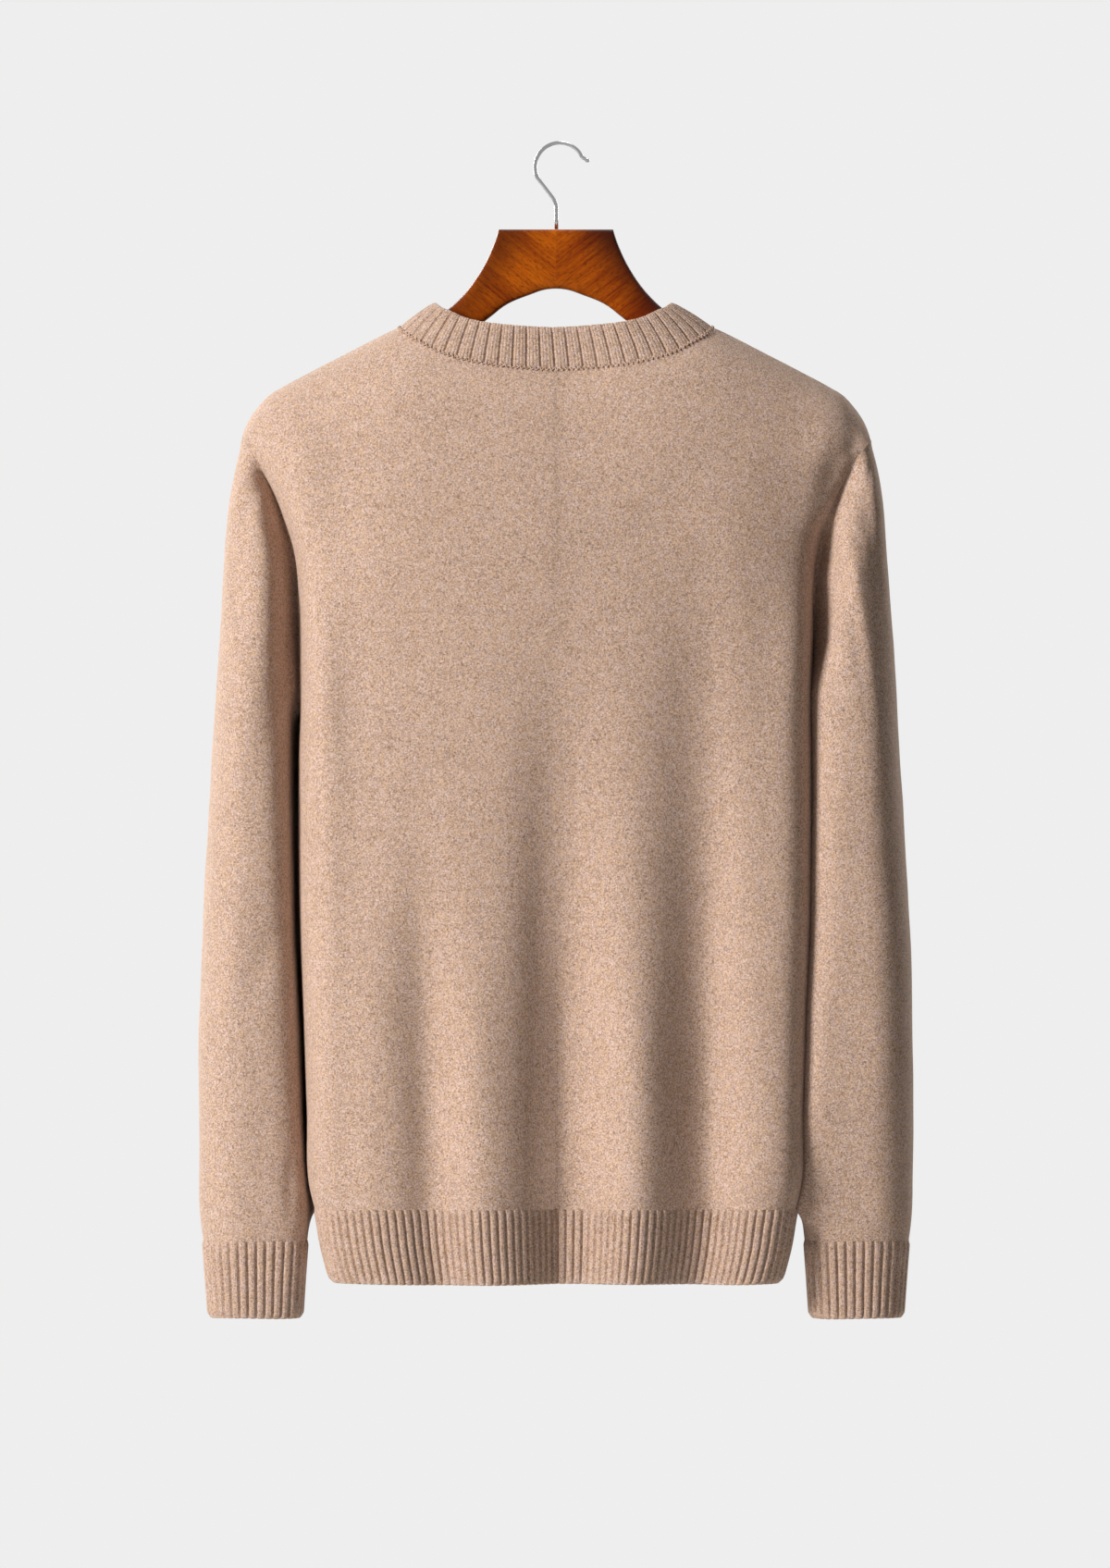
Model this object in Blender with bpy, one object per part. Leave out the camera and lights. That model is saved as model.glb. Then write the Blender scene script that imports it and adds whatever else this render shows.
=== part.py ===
"""A fine-knit crewneck sweater hanging on a two-piece wooden hanger with a wire hook.

Metres, +Z up. The origin is on the inside of the hook, where it bears on a rail. The sweater's
back faces -Y and its front +Y; the garment is symmetric about x = 0 apart from its folds. Every
cloth piece is a thin wall through rows of points worked out from the sizes below.
"""

from collections import namedtuple

import bpy
import numpy as np

# Cloth
CLOTH = 0.002
SEAM_GAP = 0.0004
ARMHOLE_GAP = 0.0007
COLLAR_GAP = 0.0005
HALF_SEAM = 0.00015
RIB_RISE = 0.0009
CHEST_SQUARENESS = 3.8
SLEEVE_SQUARENESS = 2.2

# Heights of the pieces
HEM_BOTTOM, HEM_TOP = -0.8195, -0.7655
UNDERARM_Z = -0.4080
CUFF_BOTTOM, CUFF_TOP = -0.8450, -0.7890

# Shoulders and neck
RIDGE_DROP = 0.16  # how far below the shoulder line the cloth reaches its full depth
NECK_SIDE_X = 0.1135
COLLAR_TOP_X = 0.0865
COLLAR_RISE_MIDDLE, COLLAR_RISE_SIDE = 0.0314, 0.0200
COLLAR_LEAN = 0.83  # how near the collar's top edge stays to its seam, front to back
COLLAR_BULGE = 0.06  # how far its middle stands out from a straight line, as a share of that lean

# Numbers of ribs all round, and grid sizes
NECK_RIBS, HEM_RIBS, CUFF_RIBS = 62, 144, 34
POINTS_PER_RIB = 3
BODY_ROWS, ARMHOLE_ROWS = 11, 11
CROTCH_HEIGHT = 0.02  # how far above the underarm the armhole's crease still turns down
ROW_CLOSENESS = 1.6  # the rows lie closer together towards the shoulder line
SHOULDER_COLUMNS, NECK_COLUMNS = 6, 16

# Hanger
HOOK_WIRE = 0.0027
HOOK_RADIUS = 0.0177
HOOK_CENTRE = (0.0027, -0.0161)
HOOK_START, HOOK_END = np.radians(207.0), np.radians(24.0)
HOOK_BALL = 0.0034
STEM_X, STEM_BEND_Z = 0.0003, -0.0415
WOOD_TOP = -0.0610
BOARD_CORNERS = 16
BOARD_SQUARENESS, ARM_SQUARENESS = 4.5, 2.6
ARM_START = 0.06
ARM_CLEARANCE = 0.0012

# The body at each height: full_half is half its width, measured above the underarm to where the
# panel would close if it ran on into the sleeve, and depth is half its thickness, front to back.
Body = namedtuple("Body", "z full_half depth")
BODY = [
    Body(-0.8195, 0.1620, 0.068),
    Body(-0.7950, 0.1685, 0.071),
    Body(-0.7655, 0.1738, 0.074),
    Body(-0.7540, 0.1768, 0.076),
    Body(-0.6955, 0.1795, 0.077),
    Body(-0.6288, 0.1820, 0.078),
    Body(-0.5621, 0.1847, 0.079),
    Body(-0.4955, 0.1857, 0.080),
    Body(-0.4288, 0.1852, 0.081),
    Body(UNDERARM_Z, 0.1845, 0.082),
    Body(-0.3850, 0.1841, 0.082),
    Body(-0.3550, 0.1841, 0.082),
    Body(-0.3250, 0.1848, 0.082),
    Body(-0.2930, 0.1882, 0.081),
    Body(-0.2680, 0.1960, 0.080),
    Body(-0.2440, 0.2066, 0.079),
    Body(-0.2280, 0.2180, 0.079),
    Body(-0.2140, 0.2380, 0.078),
    Body(-0.1900, 0.2620, 0.078),
    Body(-0.1200, 0.2650, 0.077),
]

# The armhole seam seen from behind, from the underarm to the shoulder tip.
Seam = namedtuple("Seam", "x z")
ARMHOLE = [
    Seam(0.1845, UNDERARM_Z),
    Seam(0.1837, -0.3850),
    Seam(0.1837, -0.3550),
    Seam(0.1843, -0.3250),
    Seam(0.1873, -0.2930),
    Seam(0.1945, -0.2680),
    Seam(0.2045, -0.2440),
    Seam(0.2145, -0.2280),
    Seam(0.2262, -0.2140),
]

# The shoulder line over each x, and the neckline seams behind and in front.
Shoulder = namedtuple("Shoulder", "x z")
SHOULDER = [
    Shoulder(0.0000, -0.1260),
    Shoulder(0.0800, -0.1265),
    Shoulder(0.1000, -0.1285),
    Shoulder(NECK_SIDE_X, -0.1325),
    Shoulder(0.1310, -0.1408),
    Shoulder(0.1465, -0.1488),
    Shoulder(0.1775, -0.1648),
    Shoulder(0.1973, -0.1755),
    Shoulder(0.2077, -0.1821),
    Shoulder(0.2137, -0.1888),
    Shoulder(0.2187, -0.1955),
    Shoulder(0.2224, -0.2021),
    Shoulder(0.2253, -0.2100),
    Shoulder(0.2262, -0.2140),
]
Neckline = namedtuple("Neckline", "x back front")
NECKLINE = [
    Neckline(0.0000, -0.1638, -0.2220),
    Neckline(0.0200, -0.1630, -0.2205),
    Neckline(0.0450, -0.1605, -0.2130),
    Neckline(0.0700, -0.1557, -0.1985),
    Neckline(0.0867, -0.1500, -0.1820),
    Neckline(0.1000, -0.1425, -0.1620),
    Neckline(0.1085, -0.1375, -0.1460),
    Neckline(NECK_SIDE_X, -0.1325, -0.1325),
]

# Sleeve sections below the armhole: the outer and inner edge seen from behind, half the depth, and
# how much of the armhole seam's own shape is left in the section.
Sleeve = namedtuple("Sleeve", "outer_x outer_z inner_x inner_z depth seam_shape")
SLEEVE = [
    Sleeve(0.2305, -0.2310, 0.1862, -0.4112, 0.1150, 0.86),
    Sleeve(0.2350, -0.2550, 0.1880, -0.4148, 0.0870, 0.68),
    Sleeve(0.2378, -0.2860, 0.1890, -0.4200, 0.0720, 0.48),
    Sleeve(0.2402, -0.3240, 0.1892, -0.4285, 0.0640, 0.30),
    Sleeve(0.2430, -0.3640, 0.1889, -0.4415, 0.0600, 0.15),
    Sleeve(0.2458, -0.4060, 0.1886, -0.4600, 0.0585, 0.05),
    Sleeve(0.2485, -0.4500, 0.1883, -0.4830, 0.0575, 0.00),
    Sleeve(0.2513, -0.5000, 0.1880, -0.5150, 0.0560, 0.00),
    Sleeve(0.2547, -0.5650, 0.1872, -0.5690, 0.0530, 0.00),
    Sleeve(0.2565, -0.6300, 0.1848, -0.6300, 0.0490, 0.00),
    Sleeve(0.2573, -0.6950, 0.1822, -0.6950, 0.0450, 0.00),
    Sleeve(0.2573, -0.7400, 0.1798, -0.7400, 0.0415, 0.00),
    Sleeve(0.2570, -0.7680, 0.1775, -0.7680, 0.0390, 0.00),
    Sleeve(0.2556, -0.7810, 0.1782, -0.7810, 0.0365, 0.00),
    Sleeve(0.2542, CUFF_TOP + SEAM_GAP, 0.1792, CUFF_TOP + SEAM_GAP, 0.0345, 0.00),
]
Cuff = namedtuple("Cuff", "z outer_x inner_x depth")
CUFF = [
    Cuff(CUFF_TOP, 0.2540, 0.1794, 0.0343),
    Cuff(-0.8170, 0.2520, 0.1812, 0.0315),
    Cuff(CUFF_BOTTOM, 0.2500, 0.1830, 0.0298),
]

# The large soft folds: where each trough starts and meets the hem, its depth there, and how wide
# its left and right slopes are. The face is -1 for the back and 1 for the front.
Fold = namedtuple("Fold", "face top_x top_z hem_x depth left right")
FOLDS = [
    Fold(-1, -0.1180, -0.420, -0.0880, 0.0085, 0.026, 0.024),
    Fold(-1, 0.0000, -0.380, 0.0030, 0.0160, 0.028, 0.034),
    Fold(-1, 0.1060, -0.280, 0.1090, 0.0160, 0.028, 0.026),
    Fold(1, -0.1050, -0.400, -0.1120, 0.0120, 0.026, 0.026),
    Fold(1, -0.0300, -0.360, -0.0360, 0.0140, 0.034, 0.028),
    Fold(1, 0.0580, -0.340, 0.0640, 0.0150, 0.028, 0.032),
]
FOLD_FULL_Z = -0.72

# One wooden half at each x: top and bottom edges and half the thickness. The arm's own sections
# follow the inside of the shoulder line.
Board = namedtuple("Board", "x top bottom half_thick")
BOARD = [
    Board(0.00015, WOOD_TOP, -0.1035, 0.0070),
    Board(0.0180, WOOD_TOP, -0.1076, 0.0070),
    Board(0.0400, WOOD_TOP, -0.1182, 0.0072),
    Board(0.0430, -0.0650, -0.1205, 0.0073),
    Board(0.0487, -0.0808, -0.1250, 0.0075),
    Board(0.0545, -0.0915, -0.1295, 0.0078),
    Board(0.0617, -0.1021, -0.1352, 0.0082),
    Board(0.0713, -0.1128, -0.1430, 0.0087),
    Board(0.0860, -0.1248, -0.1530, 0.0094),
    Board(0.1010, -0.1345, -0.1620, 0.0100),
    Board(0.1160, -0.1400, -0.1700, 0.0106),
]
Arm = namedtuple("Arm", "x height half_thick lowered")
ARM = [
    Arm(0.1350, 0.0330, 0.0114, 0.0),
    Arm(0.1600, 0.0300, 0.0122, 0.0),
    Arm(0.1850, 0.0260, 0.0126, 0.0003),
    Arm(0.2000, 0.0200, 0.0118, 0.0012),
    Arm(0.2090, 0.0120, 0.0090, 0.0030),
    Arm(0.2125, 0.0060, 0.0050, 0.0050),
]

WOOL = (0.52, 0.36, 0.27, 1.0)
RIB_WOOL = (0.47, 0.32, 0.245, 1.0)
STAINED_WOOD = (0.27, 0.055, 0.012, 1.0)
STEEL = (0.70, 0.70, 0.72, 1.0)


def through(table, key, column, at):
    """A smooth curve through one column of a table, read at any values of its key column."""
    keys = np.array([getattr(row, key) for row in table])
    values = np.array([getattr(row, column) for row in table])
    slopes = np.gradient(values, keys)
    at = np.clip(at, keys[0], keys[-1])
    i = np.clip(np.searchsorted(keys, at, side="right") - 1, 0, len(keys) - 2)
    step = keys[i + 1] - keys[i]
    t = (at - keys[i]) / step
    rest = 1 - t
    return (
        values[i] * rest**2 * (1 + 2 * t)
        + values[i + 1] * t**2 * (1 + 2 * rest)
        + step * t * rest * (slopes[i] * rest - slopes[i + 1] * t)
    )


def squared(t, squareness):
    """Half of a rounded square: 1 in the middle of -1..1, falling to 0 at its ends."""
    return (1 - np.minimum(np.abs(t), 1) ** squareness) ** (1 / squareness)


def smoothstep(t):
    t = np.clip(t, 0, 1)
    return t * t * (3 - 2 * t)


def fold_depth(x, z, face):
    """How far the cloth sinks into its folds at a place on one face."""
    sunk = np.zeros(np.shape(x))
    for fold in (fold for fold in FOLDS if fold.face == face):
        down = np.clip((fold.top_z - z) / (fold.top_z - FOLD_FULL_Z), 0, 1)
        off = x - (fold.top_x + (fold.hem_x - fold.top_x) * down)
        width = np.where(off < 0, fold.left, fold.right)
        sunk += fold.depth * smoothstep(down) * np.exp(-((off / width) ** 2))
    return sunk


def body_depth(x, z, face):
    """How far the cloth of one face stands from the middle plane."""
    across = squared(x / through(BODY, "z", "full_half", z), CHEST_SQUARENESS)
    below = np.clip((through(SHOULDER, "x", "z", np.abs(x)) - z) / RIDGE_DROP, 0, 1)
    shoulder = np.sqrt(1 - (1 - below) ** 2)
    full = through(BODY, "z", "depth", z)
    return across * shoulder * full - fold_depth(x, z, face) * smoothstep(3 * across)


def spread(points, shares, carried=None):
    """Points at the given shares of the length along a line of points, or what the points carry there."""
    steps = np.linalg.norm(np.diff(points, axis=0), axis=1)
    along = np.concatenate([[0], np.cumsum(steps)]) / steps.sum()
    values = points if carried is None else carried
    return np.stack([np.interp(shares, along, axis) for axis in values.T], axis=-1)


def closed(loop):
    return np.vstack([loop, loop[:1]])


def armhole_line():
    """The armhole seam seen from behind, closer together at both ends."""
    height = np.linspace(UNDERARM_Z, ARMHOLE[-1].z, 200)
    fine = np.stack([through(ARMHOLE, "z", "x", height), height], axis=-1)
    shares = (1 - np.cos(np.linspace(0, np.pi, ARMHOLE_ROWS + 1))) / 2
    return spread(fine, shares)


def row_shares():
    """How far up the panel each row of points lies."""
    return 1 - np.linspace(1, 0, BODY_ROWS + ARMHOLE_ROWS + 1) ** ROW_CLOSENESS


def side_line():
    """One side of a panel, from the hem's rib up to the shoulder tip."""
    shares = row_shares()[: BODY_ROWS + 1]
    low = HEM_TOP + SEAM_GAP
    height = low + (UNDERARM_Z - low) * shares / shares[-1]
    seam = np.stack([through(BODY, "z", "full_half", height), height], axis=-1)
    return np.concatenate([seam, armhole_line()[1:]])


def top_line(face):
    """The top of a panel from the left shoulder tip over the neckline to the right one."""
    x = np.linspace(NECK_SIDE_X, ARMHOLE[-1].x, 200)
    fine = np.stack([x, through(SHOULDER, "x", "z", x)], axis=-1)
    slope = spread(fine, np.linspace(0, 1, SHOULDER_COLUMNS + 1))
    x = np.linspace(0, NECK_SIDE_X, 200)
    column = "back" if face < 0 else "front"
    fine = np.stack([x, through(NECKLINE, "x", column, x)], axis=-1)
    neck = spread(fine, np.linspace(0, 1, NECK_COLUMNS // 2 + 1))
    half = np.concatenate([neck, slope[1:]])
    return np.concatenate([half[:0:-1] * (-1, 1), half])


def panel_plan(face):
    """The panel's grid seen from behind: rows from the hem to the shoulder, columns left to right."""
    top, side = top_line(face), side_line()
    columns = len(top)
    angle = np.linspace(np.pi, 0, columns)
    reach = np.abs(np.cos(angle)) ** (2 / CHEST_SQUARENESS) * np.sign(np.cos(angle))
    bottom = np.stack([reach * side[0, 0], np.full(columns, side[0, 1])], axis=-1)
    up = row_shares()[:, None, None]
    along = ((reach / abs(reach[0])) + 1)[None, :, None] / 2
    left, right = side * (-1, 1), side
    plan = (1 - up) * bottom + up * top
    plan += (1 - along) * (left[:, None] - ((1 - up) * bottom[0] + up * top[0]))
    plan += along * (right[:, None] - ((1 - up) * bottom[-1] + up * top[-1]))
    return plan


def normals_of(grid, ring):
    """Outward directions at the points of a grid whose columns run round with the outside on the right."""
    if ring:
        across = np.roll(grid, -1, axis=1) - np.roll(grid, 1, axis=1)
    else:
        across = np.gradient(grid, axis=1)
    up = np.gradient(grid, axis=0)
    found = np.cross(across, up)
    return found / np.linalg.norm(found, axis=2, keepdims=True)


def level(directions):
    """The same directions with no lean towards the front or back."""
    flat = directions * (1, 0, 1)
    return flat / np.linalg.norm(flat, axis=-1, keepdims=True)


def panel(face):
    """Outer points of the back (-1) or front (1) panel, and the outward directions there."""
    plan = panel_plan(face)
    x, z = plan[..., 0], plan[..., 1]
    depth = body_depth(x, z, face)
    side = slice(0, BODY_ROWS + 1)
    shoulder = np.r_[0 : SHOULDER_COLUMNS + 1, -SHOULDER_COLUMNS - 1 : 0]
    depth[side, [0, -1]] = 0
    depth[-1, shoulder] = 0
    outer = np.stack([x, face * (depth + HALF_SEAM), z], axis=-1)
    if face > 0:
        outer = outer[:, ::-1]
    out = normals_of(outer, ring=False)
    out[side, [0, -1]] = level(out[side, [0, -1]])
    out[-1, shoulder] = level(out[-1, shoulder])
    return outer, out


def bridge(many, few, flip):
    """Faces between two lines of point numbers, the first with a whole number of points to each of the other."""
    share = (len(many) - 1) // (len(few) - 1)
    faces = []
    for i in range(len(few) - 1):
        run = list(many[i * share : (i + 1) * share + 1])
        if share == 1:
            faces.append([few[i + 1], few[i]] + run)
            continue
        faces += [[few[i], start, end] for start, end in zip(run[:-1], run[1:])]
        faces.append([few[i], run[-1], few[i + 1]])
    return [face[::-1] for face in faces] if flip else faces


def split(face, points):
    """A four-cornered face as two triangles along its shorter diagonal, so that seams match."""
    if len(face) < 4:
        return [face]
    a, b, c, d = face
    straight = np.linalg.norm(points[a] - points[c]) - np.linalg.norm(points[b] - points[d])
    if straight > 0:
        return [[a, b, d], [b, c, d]]
    return [[a, b, c], [a, c, d]]


def wall(name, outer, inner, ring, material):
    """A closed cloth wall between an outer and an inner grid; a ring's columns close on themselves."""
    outer_number = np.arange(outer[..., 0].size).reshape(outer.shape[:2])
    inner_number = outer_number.size + np.arange(inner[..., 0].size).reshape(inner.shape[:2])
    if ring:
        outer_number = np.hstack([outer_number, outer_number[:, :1]])
        inner_number = np.hstack([inner_number, inner_number[:, :1]])
    faces = []
    for number, flip in ((outer_number, True), (inner_number, False)):
        for low, high in zip(number[:-1], number[1:]):
            faces += bridge(high, low, flip)
    faces += bridge(outer_number[0], inner_number[0], flip=True)
    faces += bridge(outer_number[-1], inner_number[-1], flip=False)
    if not ring:
        faces += bridge(outer_number[:, 0], inner_number[:, 0], flip=False)
        faces += bridge(outer_number[:, -1], inner_number[:, -1], flip=True)
    points = np.concatenate([outer.reshape(-1, 3), inner.reshape(-1, 3)])
    triangles = [half for face in faces for half in split(face, points)]
    return solid(name, points, triangles, material)


def solid(name, points, faces, material):
    mesh = bpy.data.meshes.new(name)
    mesh.from_pydata(points.tolist(), [], [[int(i) for i in face] for face in faces])
    mesh.shade_smooth()
    mesh.set_sharp_from_angle(angle=np.radians(40))
    mesh.materials.append(material)
    made = bpy.data.objects.new(name, mesh)
    PARTS.objects.link(made)
    return made


def ribbed(loops, ribs, lean=None):
    """Outer and inner points of a ribbed band through closed loops, one above the other. Each rib has
    a narrow groove and a flat crest, raised from a plain inside. A first loop that is sewn to another
    piece leans the way that piece does."""
    shares = np.arange(ribs * POINTS_PER_RIB) / (ribs * POINTS_PER_RIB)
    grid = np.stack([spread(closed(loop), shares) for loop in loops])
    out = normals_of(grid, ring=True)
    if lean is not None:
        out[0] = spread(closed(loops[0]), shares, closed(lean))
    raised = np.tile([0.0, RIB_RISE, RIB_RISE], ribs)[None, :, None]
    inner = (grid - CLOTH * out)[:, ::POINTS_PER_RIB]
    return grid + raised * out, inner


def sleeve_section(half_depth):
    """A sleeve's rounded section: how far across each point lies, from 0 at the body's side to 1, and
    its place front to back. The points run round by way of the back."""
    around = np.arange(2 * ARMHOLE_ROWS) * np.pi / ARMHOLE_ROWS
    turned = np.cos(around)
    reach = (1 - np.sign(turned) * np.abs(turned) ** (2 / SLEEVE_SQUARENESS)) / 2
    depth = -np.sign(np.sin(around)) * half_depth * squared(2 * reach - 1, SLEEVE_SQUARENESS)
    depth[[0, ARMHOLE_ROWS]] = 0
    return reach, depth


def armhole_ring(back, front):
    """What the two panels have along the right armhole, once round from the underarm by way of the back."""
    return np.concatenate([back[BODY_ROWS:, -1], front[-2:BODY_ROWS:-1, 0]])


def sleeve(back, front):
    """Outer points of the right sleeve in rings from its cuff up to the armhole, and the outward
    directions there. The last ring leans halfway between the sleeve and the panels."""
    loop = armhole_ring(back[0], front[0])
    loop[[0, ARMHOLE_ROWS], 1] = 0
    line = loop[:, [0, 2]]
    rings = []
    for row in SLEEVE:
        reach, section = sleeve_section(row.depth)
        chord = line[0] + reach[:, None] * (line[ARMHOLE_ROWS] - line[0])
        inner, outer = np.array([row.inner_x, row.inner_z]), np.array([row.outer_x, row.outer_z])
        place = inner + reach[:, None] * (outer - inner) + row.seam_shape * (line - chord)
        depth = row.seam_shape * loop[:, 1] + (1 - row.seam_shape) * section
        rings.append(np.stack([place[:, 0], depth, place[:, 1]], axis=-1))
    away = rings[0] - loop
    away /= np.linalg.norm(away, axis=-1, keepdims=True)
    rings.insert(0, loop + ARMHOLE_GAP * away)
    outer = np.stack(rings[::-1])
    out = normals_of(outer, ring=True)
    into = armhole_ring(back[0][:, :-1], front[0][:, 1:]) - loop
    into /= np.linalg.norm(into, axis=-1, keepdims=True)
    between = out[-1] + armhole_ring(back[1], front[1]) + into + away
    between[[0, ARMHOLE_ROWS], 1] = 0
    # The crease turns down at the underarm.
    low = np.clip(1 - (loop[:, 2] - UNDERARM_Z) / CROTCH_HEIGHT, 0, 1)[:, None]
    between /= np.linalg.norm(between, axis=-1, keepdims=True)
    between = between * (1 - low * (0.3, 1, 0.3)) + low * (0, 0, -1)
    between /= np.linalg.norm(between, axis=-1, keepdims=True)
    # The wall is as thick along the crease as away from it.
    mitre = np.clip((between * out[-1]).sum(axis=-1, keepdims=True), 0.5 + 0.5 * low, 1)
    out[-1] = between / mitre
    return outer, out


def lean_armholes(out, crease):
    """Gives a panel's armhole edges the directions that the right sleeve has there."""
    out[BODY_ROWS:, -1] = crease
    out[BODY_ROWS:, 0] = crease * (-1, 1, 1)


def cuff_loops():
    """Closed loops of the right cuff, from its rim up to the sleeve."""
    loops = []
    for row in CUFF[::-1]:
        reach, depth = sleeve_section(row.depth)
        x = row.inner_x + reach * (row.outer_x - row.inner_x)
        loops.append(np.stack([x, depth, np.full(len(x), row.z)], axis=-1))
    return loops


def mirrored(grid):
    """The same piece on the left, with its columns still running round the same way."""
    return (grid * (-1, 1, 1))[:, ::-1]


def hem_wall(edge):
    """One half of the hem's rib below a panel's bottom edge, which tapers in to its lower rim."""
    count = HEM_RIBS // 2 * POINTS_PER_RIB
    line = spread(edge, np.arange(count + 1) / count)
    rows = []
    for z in np.linspace(HEM_BOTTOM, HEM_TOP, 3):
        narrower = through(BODY, "z", "full_half", z) / through(BODY, "z", "full_half", HEM_TOP)
        shallower = through(BODY, "z", "depth", z) / through(BODY, "z", "depth", HEM_TOP)
        row = line * (narrower, shallower, 0)
        row[[0, -1], 1] = line[[0, -1], 1]
        row[:, 2] = z
        rows.append(row)
    grid = np.stack(rows)
    out = normals_of(grid, ring=False)
    out[:, [0, -1]] = level(out[:, [0, -1]])
    raised = np.append(np.tile([0.0, RIB_RISE, RIB_RISE], HEM_RIBS // 2), 0.0)[None, :, None]
    return grid + raised * out, (grid - CLOTH * out)[:, ::POINTS_PER_RIB]


def neck_loops(back, front):
    """Closed loops of the neckband, from its seam up to its rim, and the directions along its seam."""
    behind = slice(SHOULDER_COLUMNS, -SHOULDER_COLUMNS)
    before = slice(SHOULDER_COLUMNS + 1, -SHOULDER_COLUMNS - 1)
    seam, lean = (np.concatenate([back[i][-1, behind], front[i][-1, before]]) for i in (0, 1))
    seam[[0, NECK_COLUMNS], 1] = 0
    across = np.abs(seam[:, :1]) / NECK_SIDE_X
    rise = COLLAR_RISE_MIDDLE - (COLLAR_RISE_MIDDLE - COLLAR_RISE_SIDE) * across**2.5
    rim = seam * (COLLAR_TOP_X / NECK_SIDE_X, COLLAR_LEAN, 1) + rise * (0, 0, 1)
    middle = (seam + rim) / 2 + (seam - rim) * (1, 1, 0) * COLLAR_BULGE
    step = middle - seam
    start = seam + COLLAR_GAP * step / np.linalg.norm(step, axis=-1, keepdims=True)
    return [start, middle, rim], lean


def board_sections():
    """Sections of one wooden half from the middle to the arm's end: x, top, bottom, half thickness."""
    rows = [(row.x, row.top, row.bottom, row.half_thick) for row in BOARD]
    for arm in ARM:
        top = through(SHOULDER, "x", "z", arm.x) - CLOTH * 1.12 - ARM_CLEARANCE - arm.lowered
        rows.append((arm.x, top, top - arm.height, arm.half_thick))
    return rows


def hanger_half(name, side, material):
    """A board with rounded edges whose arm narrows and rounds off at its end."""
    angle = (np.arange(BOARD_CORNERS) + 0.5) * 2 * np.pi / BOARD_CORNERS
    sections = []
    for x, top, bottom, half_thick in board_sections():
        squareness = BOARD_SQUARENESS if x < ARM_START else ARM_SQUARENESS
        up = np.sign(np.sin(angle)) * np.abs(np.sin(angle)) ** (2 / squareness)
        out = np.sign(np.cos(angle)) * np.abs(np.cos(angle)) ** (2 / squareness)
        up, out = up / np.abs(up).max(), out / np.abs(out).max()
        z = (top + bottom) / 2 + up * (top - bottom) / 2
        sections.append(np.stack([np.full(BOARD_CORNERS, side * x), side * out * half_thick, z], axis=-1))
    grid = np.stack(sections)
    number = np.arange(grid[..., 0].size).reshape(grid.shape[:2])
    faces = [list(number[0][::-1]), list(number[-1])]
    for near, far in zip(number[:-1], number[1:]):
        for i in range(BOARD_CORNERS):
            j = (i + 1) % BOARD_CORNERS
            faces.append([near[i], near[j], far[j], far[i]])
    return solid(name, grid.reshape(-1, 3), faces, material)


def hook(material):
    """One bent wire with a ball at its tip, standing on the wood's flat top."""
    cx, cz = HOOK_CENTRE
    route = [(STEM_X, WOOD_TOP + 0.0003), (STEM_X, STEM_BEND_Z - 0.003), (STEM_X - 0.0006, STEM_BEND_Z + 0.001)]
    for angle in np.linspace(HOOK_START, HOOK_END, 17):
        route.append((cx + HOOK_RADIUS * np.cos(angle), cz + HOOK_RADIUS * np.sin(angle)))
    end_x, end_z = route[-1]
    route.append((end_x + 0.0022, end_z - 0.0012))
    route.append((end_x + 0.0046, end_z - 0.0027))
    data = bpy.data.curves.new("hanger_hook", "CURVE")
    data.dimensions = "3D"
    data.bevel_depth = HOOK_WIRE / 2
    data.bevel_resolution = 2
    data.use_fill_caps = True
    line = data.splines.new("POLY")
    line.points.add(len(route) - 1)
    for point, (x, z) in zip(line.points, route):
        point.co = (x, 0, z, 1)
        point.radius = 1
    line.points[-1].radius = HOOK_BALL / HOOK_WIRE
    line.points[-2].radius = HOOK_BALL / HOOK_WIRE
    data.materials.append(material)
    made = bpy.data.objects.new("hanger_hook", data)
    PARTS.objects.link(made)


def finish(name, colour, roughness, metallic=0.0):
    made = bpy.data.materials.new(name)
    made.use_nodes = True
    shader = made.node_tree.nodes["Principled BSDF"]
    shader.inputs["Base Color"].default_value = colour
    shader.inputs["Roughness"].default_value = roughness
    shader.inputs["Metallic"].default_value = metallic
    return made


for old in list(bpy.data.objects):
    bpy.data.objects.remove(old)
PARTS = bpy.data.collections.new("crewneck_sweater")
bpy.context.scene.collection.children.link(PARTS)

wool = finish("wool jersey", WOOL, 0.95)
rib_wool = finish("wool rib", RIB_WOOL, 0.95)
wood = finish("stained wood", STAINED_WOOD, 0.35)
steel = finish("bright steel", STEEL, 0.25, metallic=1.0)

back, front = panel(-1), panel(1)
sleeve_outer, sleeve_out = sleeve(back, front)
crease = np.concatenate([sleeve_out[-1], sleeve_out[-1, :1]])
lean_armholes(back[1], crease[: ARMHOLE_ROWS + 1])
lean_armholes(front[1][:, ::-1], crease[: ARMHOLE_ROWS - 1 : -1])
for face, (outer, out) in (("back", back), ("front", front)):
    wall(f"{face}_panel", outer, outer - CLOTH * out, False, wool)
    hem_outer, hem_inner = hem_wall(outer[0])
    wall(f"hem_rib_{face}", hem_outer, hem_inner, False, rib_wool)

sleeve_inner = sleeve_outer - CLOTH * sleeve_out
cuff_outer, cuff_inner = ribbed(cuff_loops(), CUFF_RIBS)
for side, turn in (("right", lambda grid: grid), ("left", mirrored)):
    wall(f"sleeve_{side}", turn(sleeve_outer), turn(sleeve_inner), True, wool)
    wall(f"cuff_{side}", turn(cuff_outer), turn(cuff_inner), True, rib_wool)

neck_rows, neck_lean = neck_loops(back, front)
neck_outer, neck_inner = ribbed(neck_rows, NECK_RIBS, neck_lean)
wall("neckband", neck_outer, neck_inner, True, rib_wool)

for side, sign in (("left", -1), ("right", 1)):
    hanger_half(f"hanger_{side}", sign, wood)
hook(steel)
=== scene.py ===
from collections import namedtuple

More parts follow.
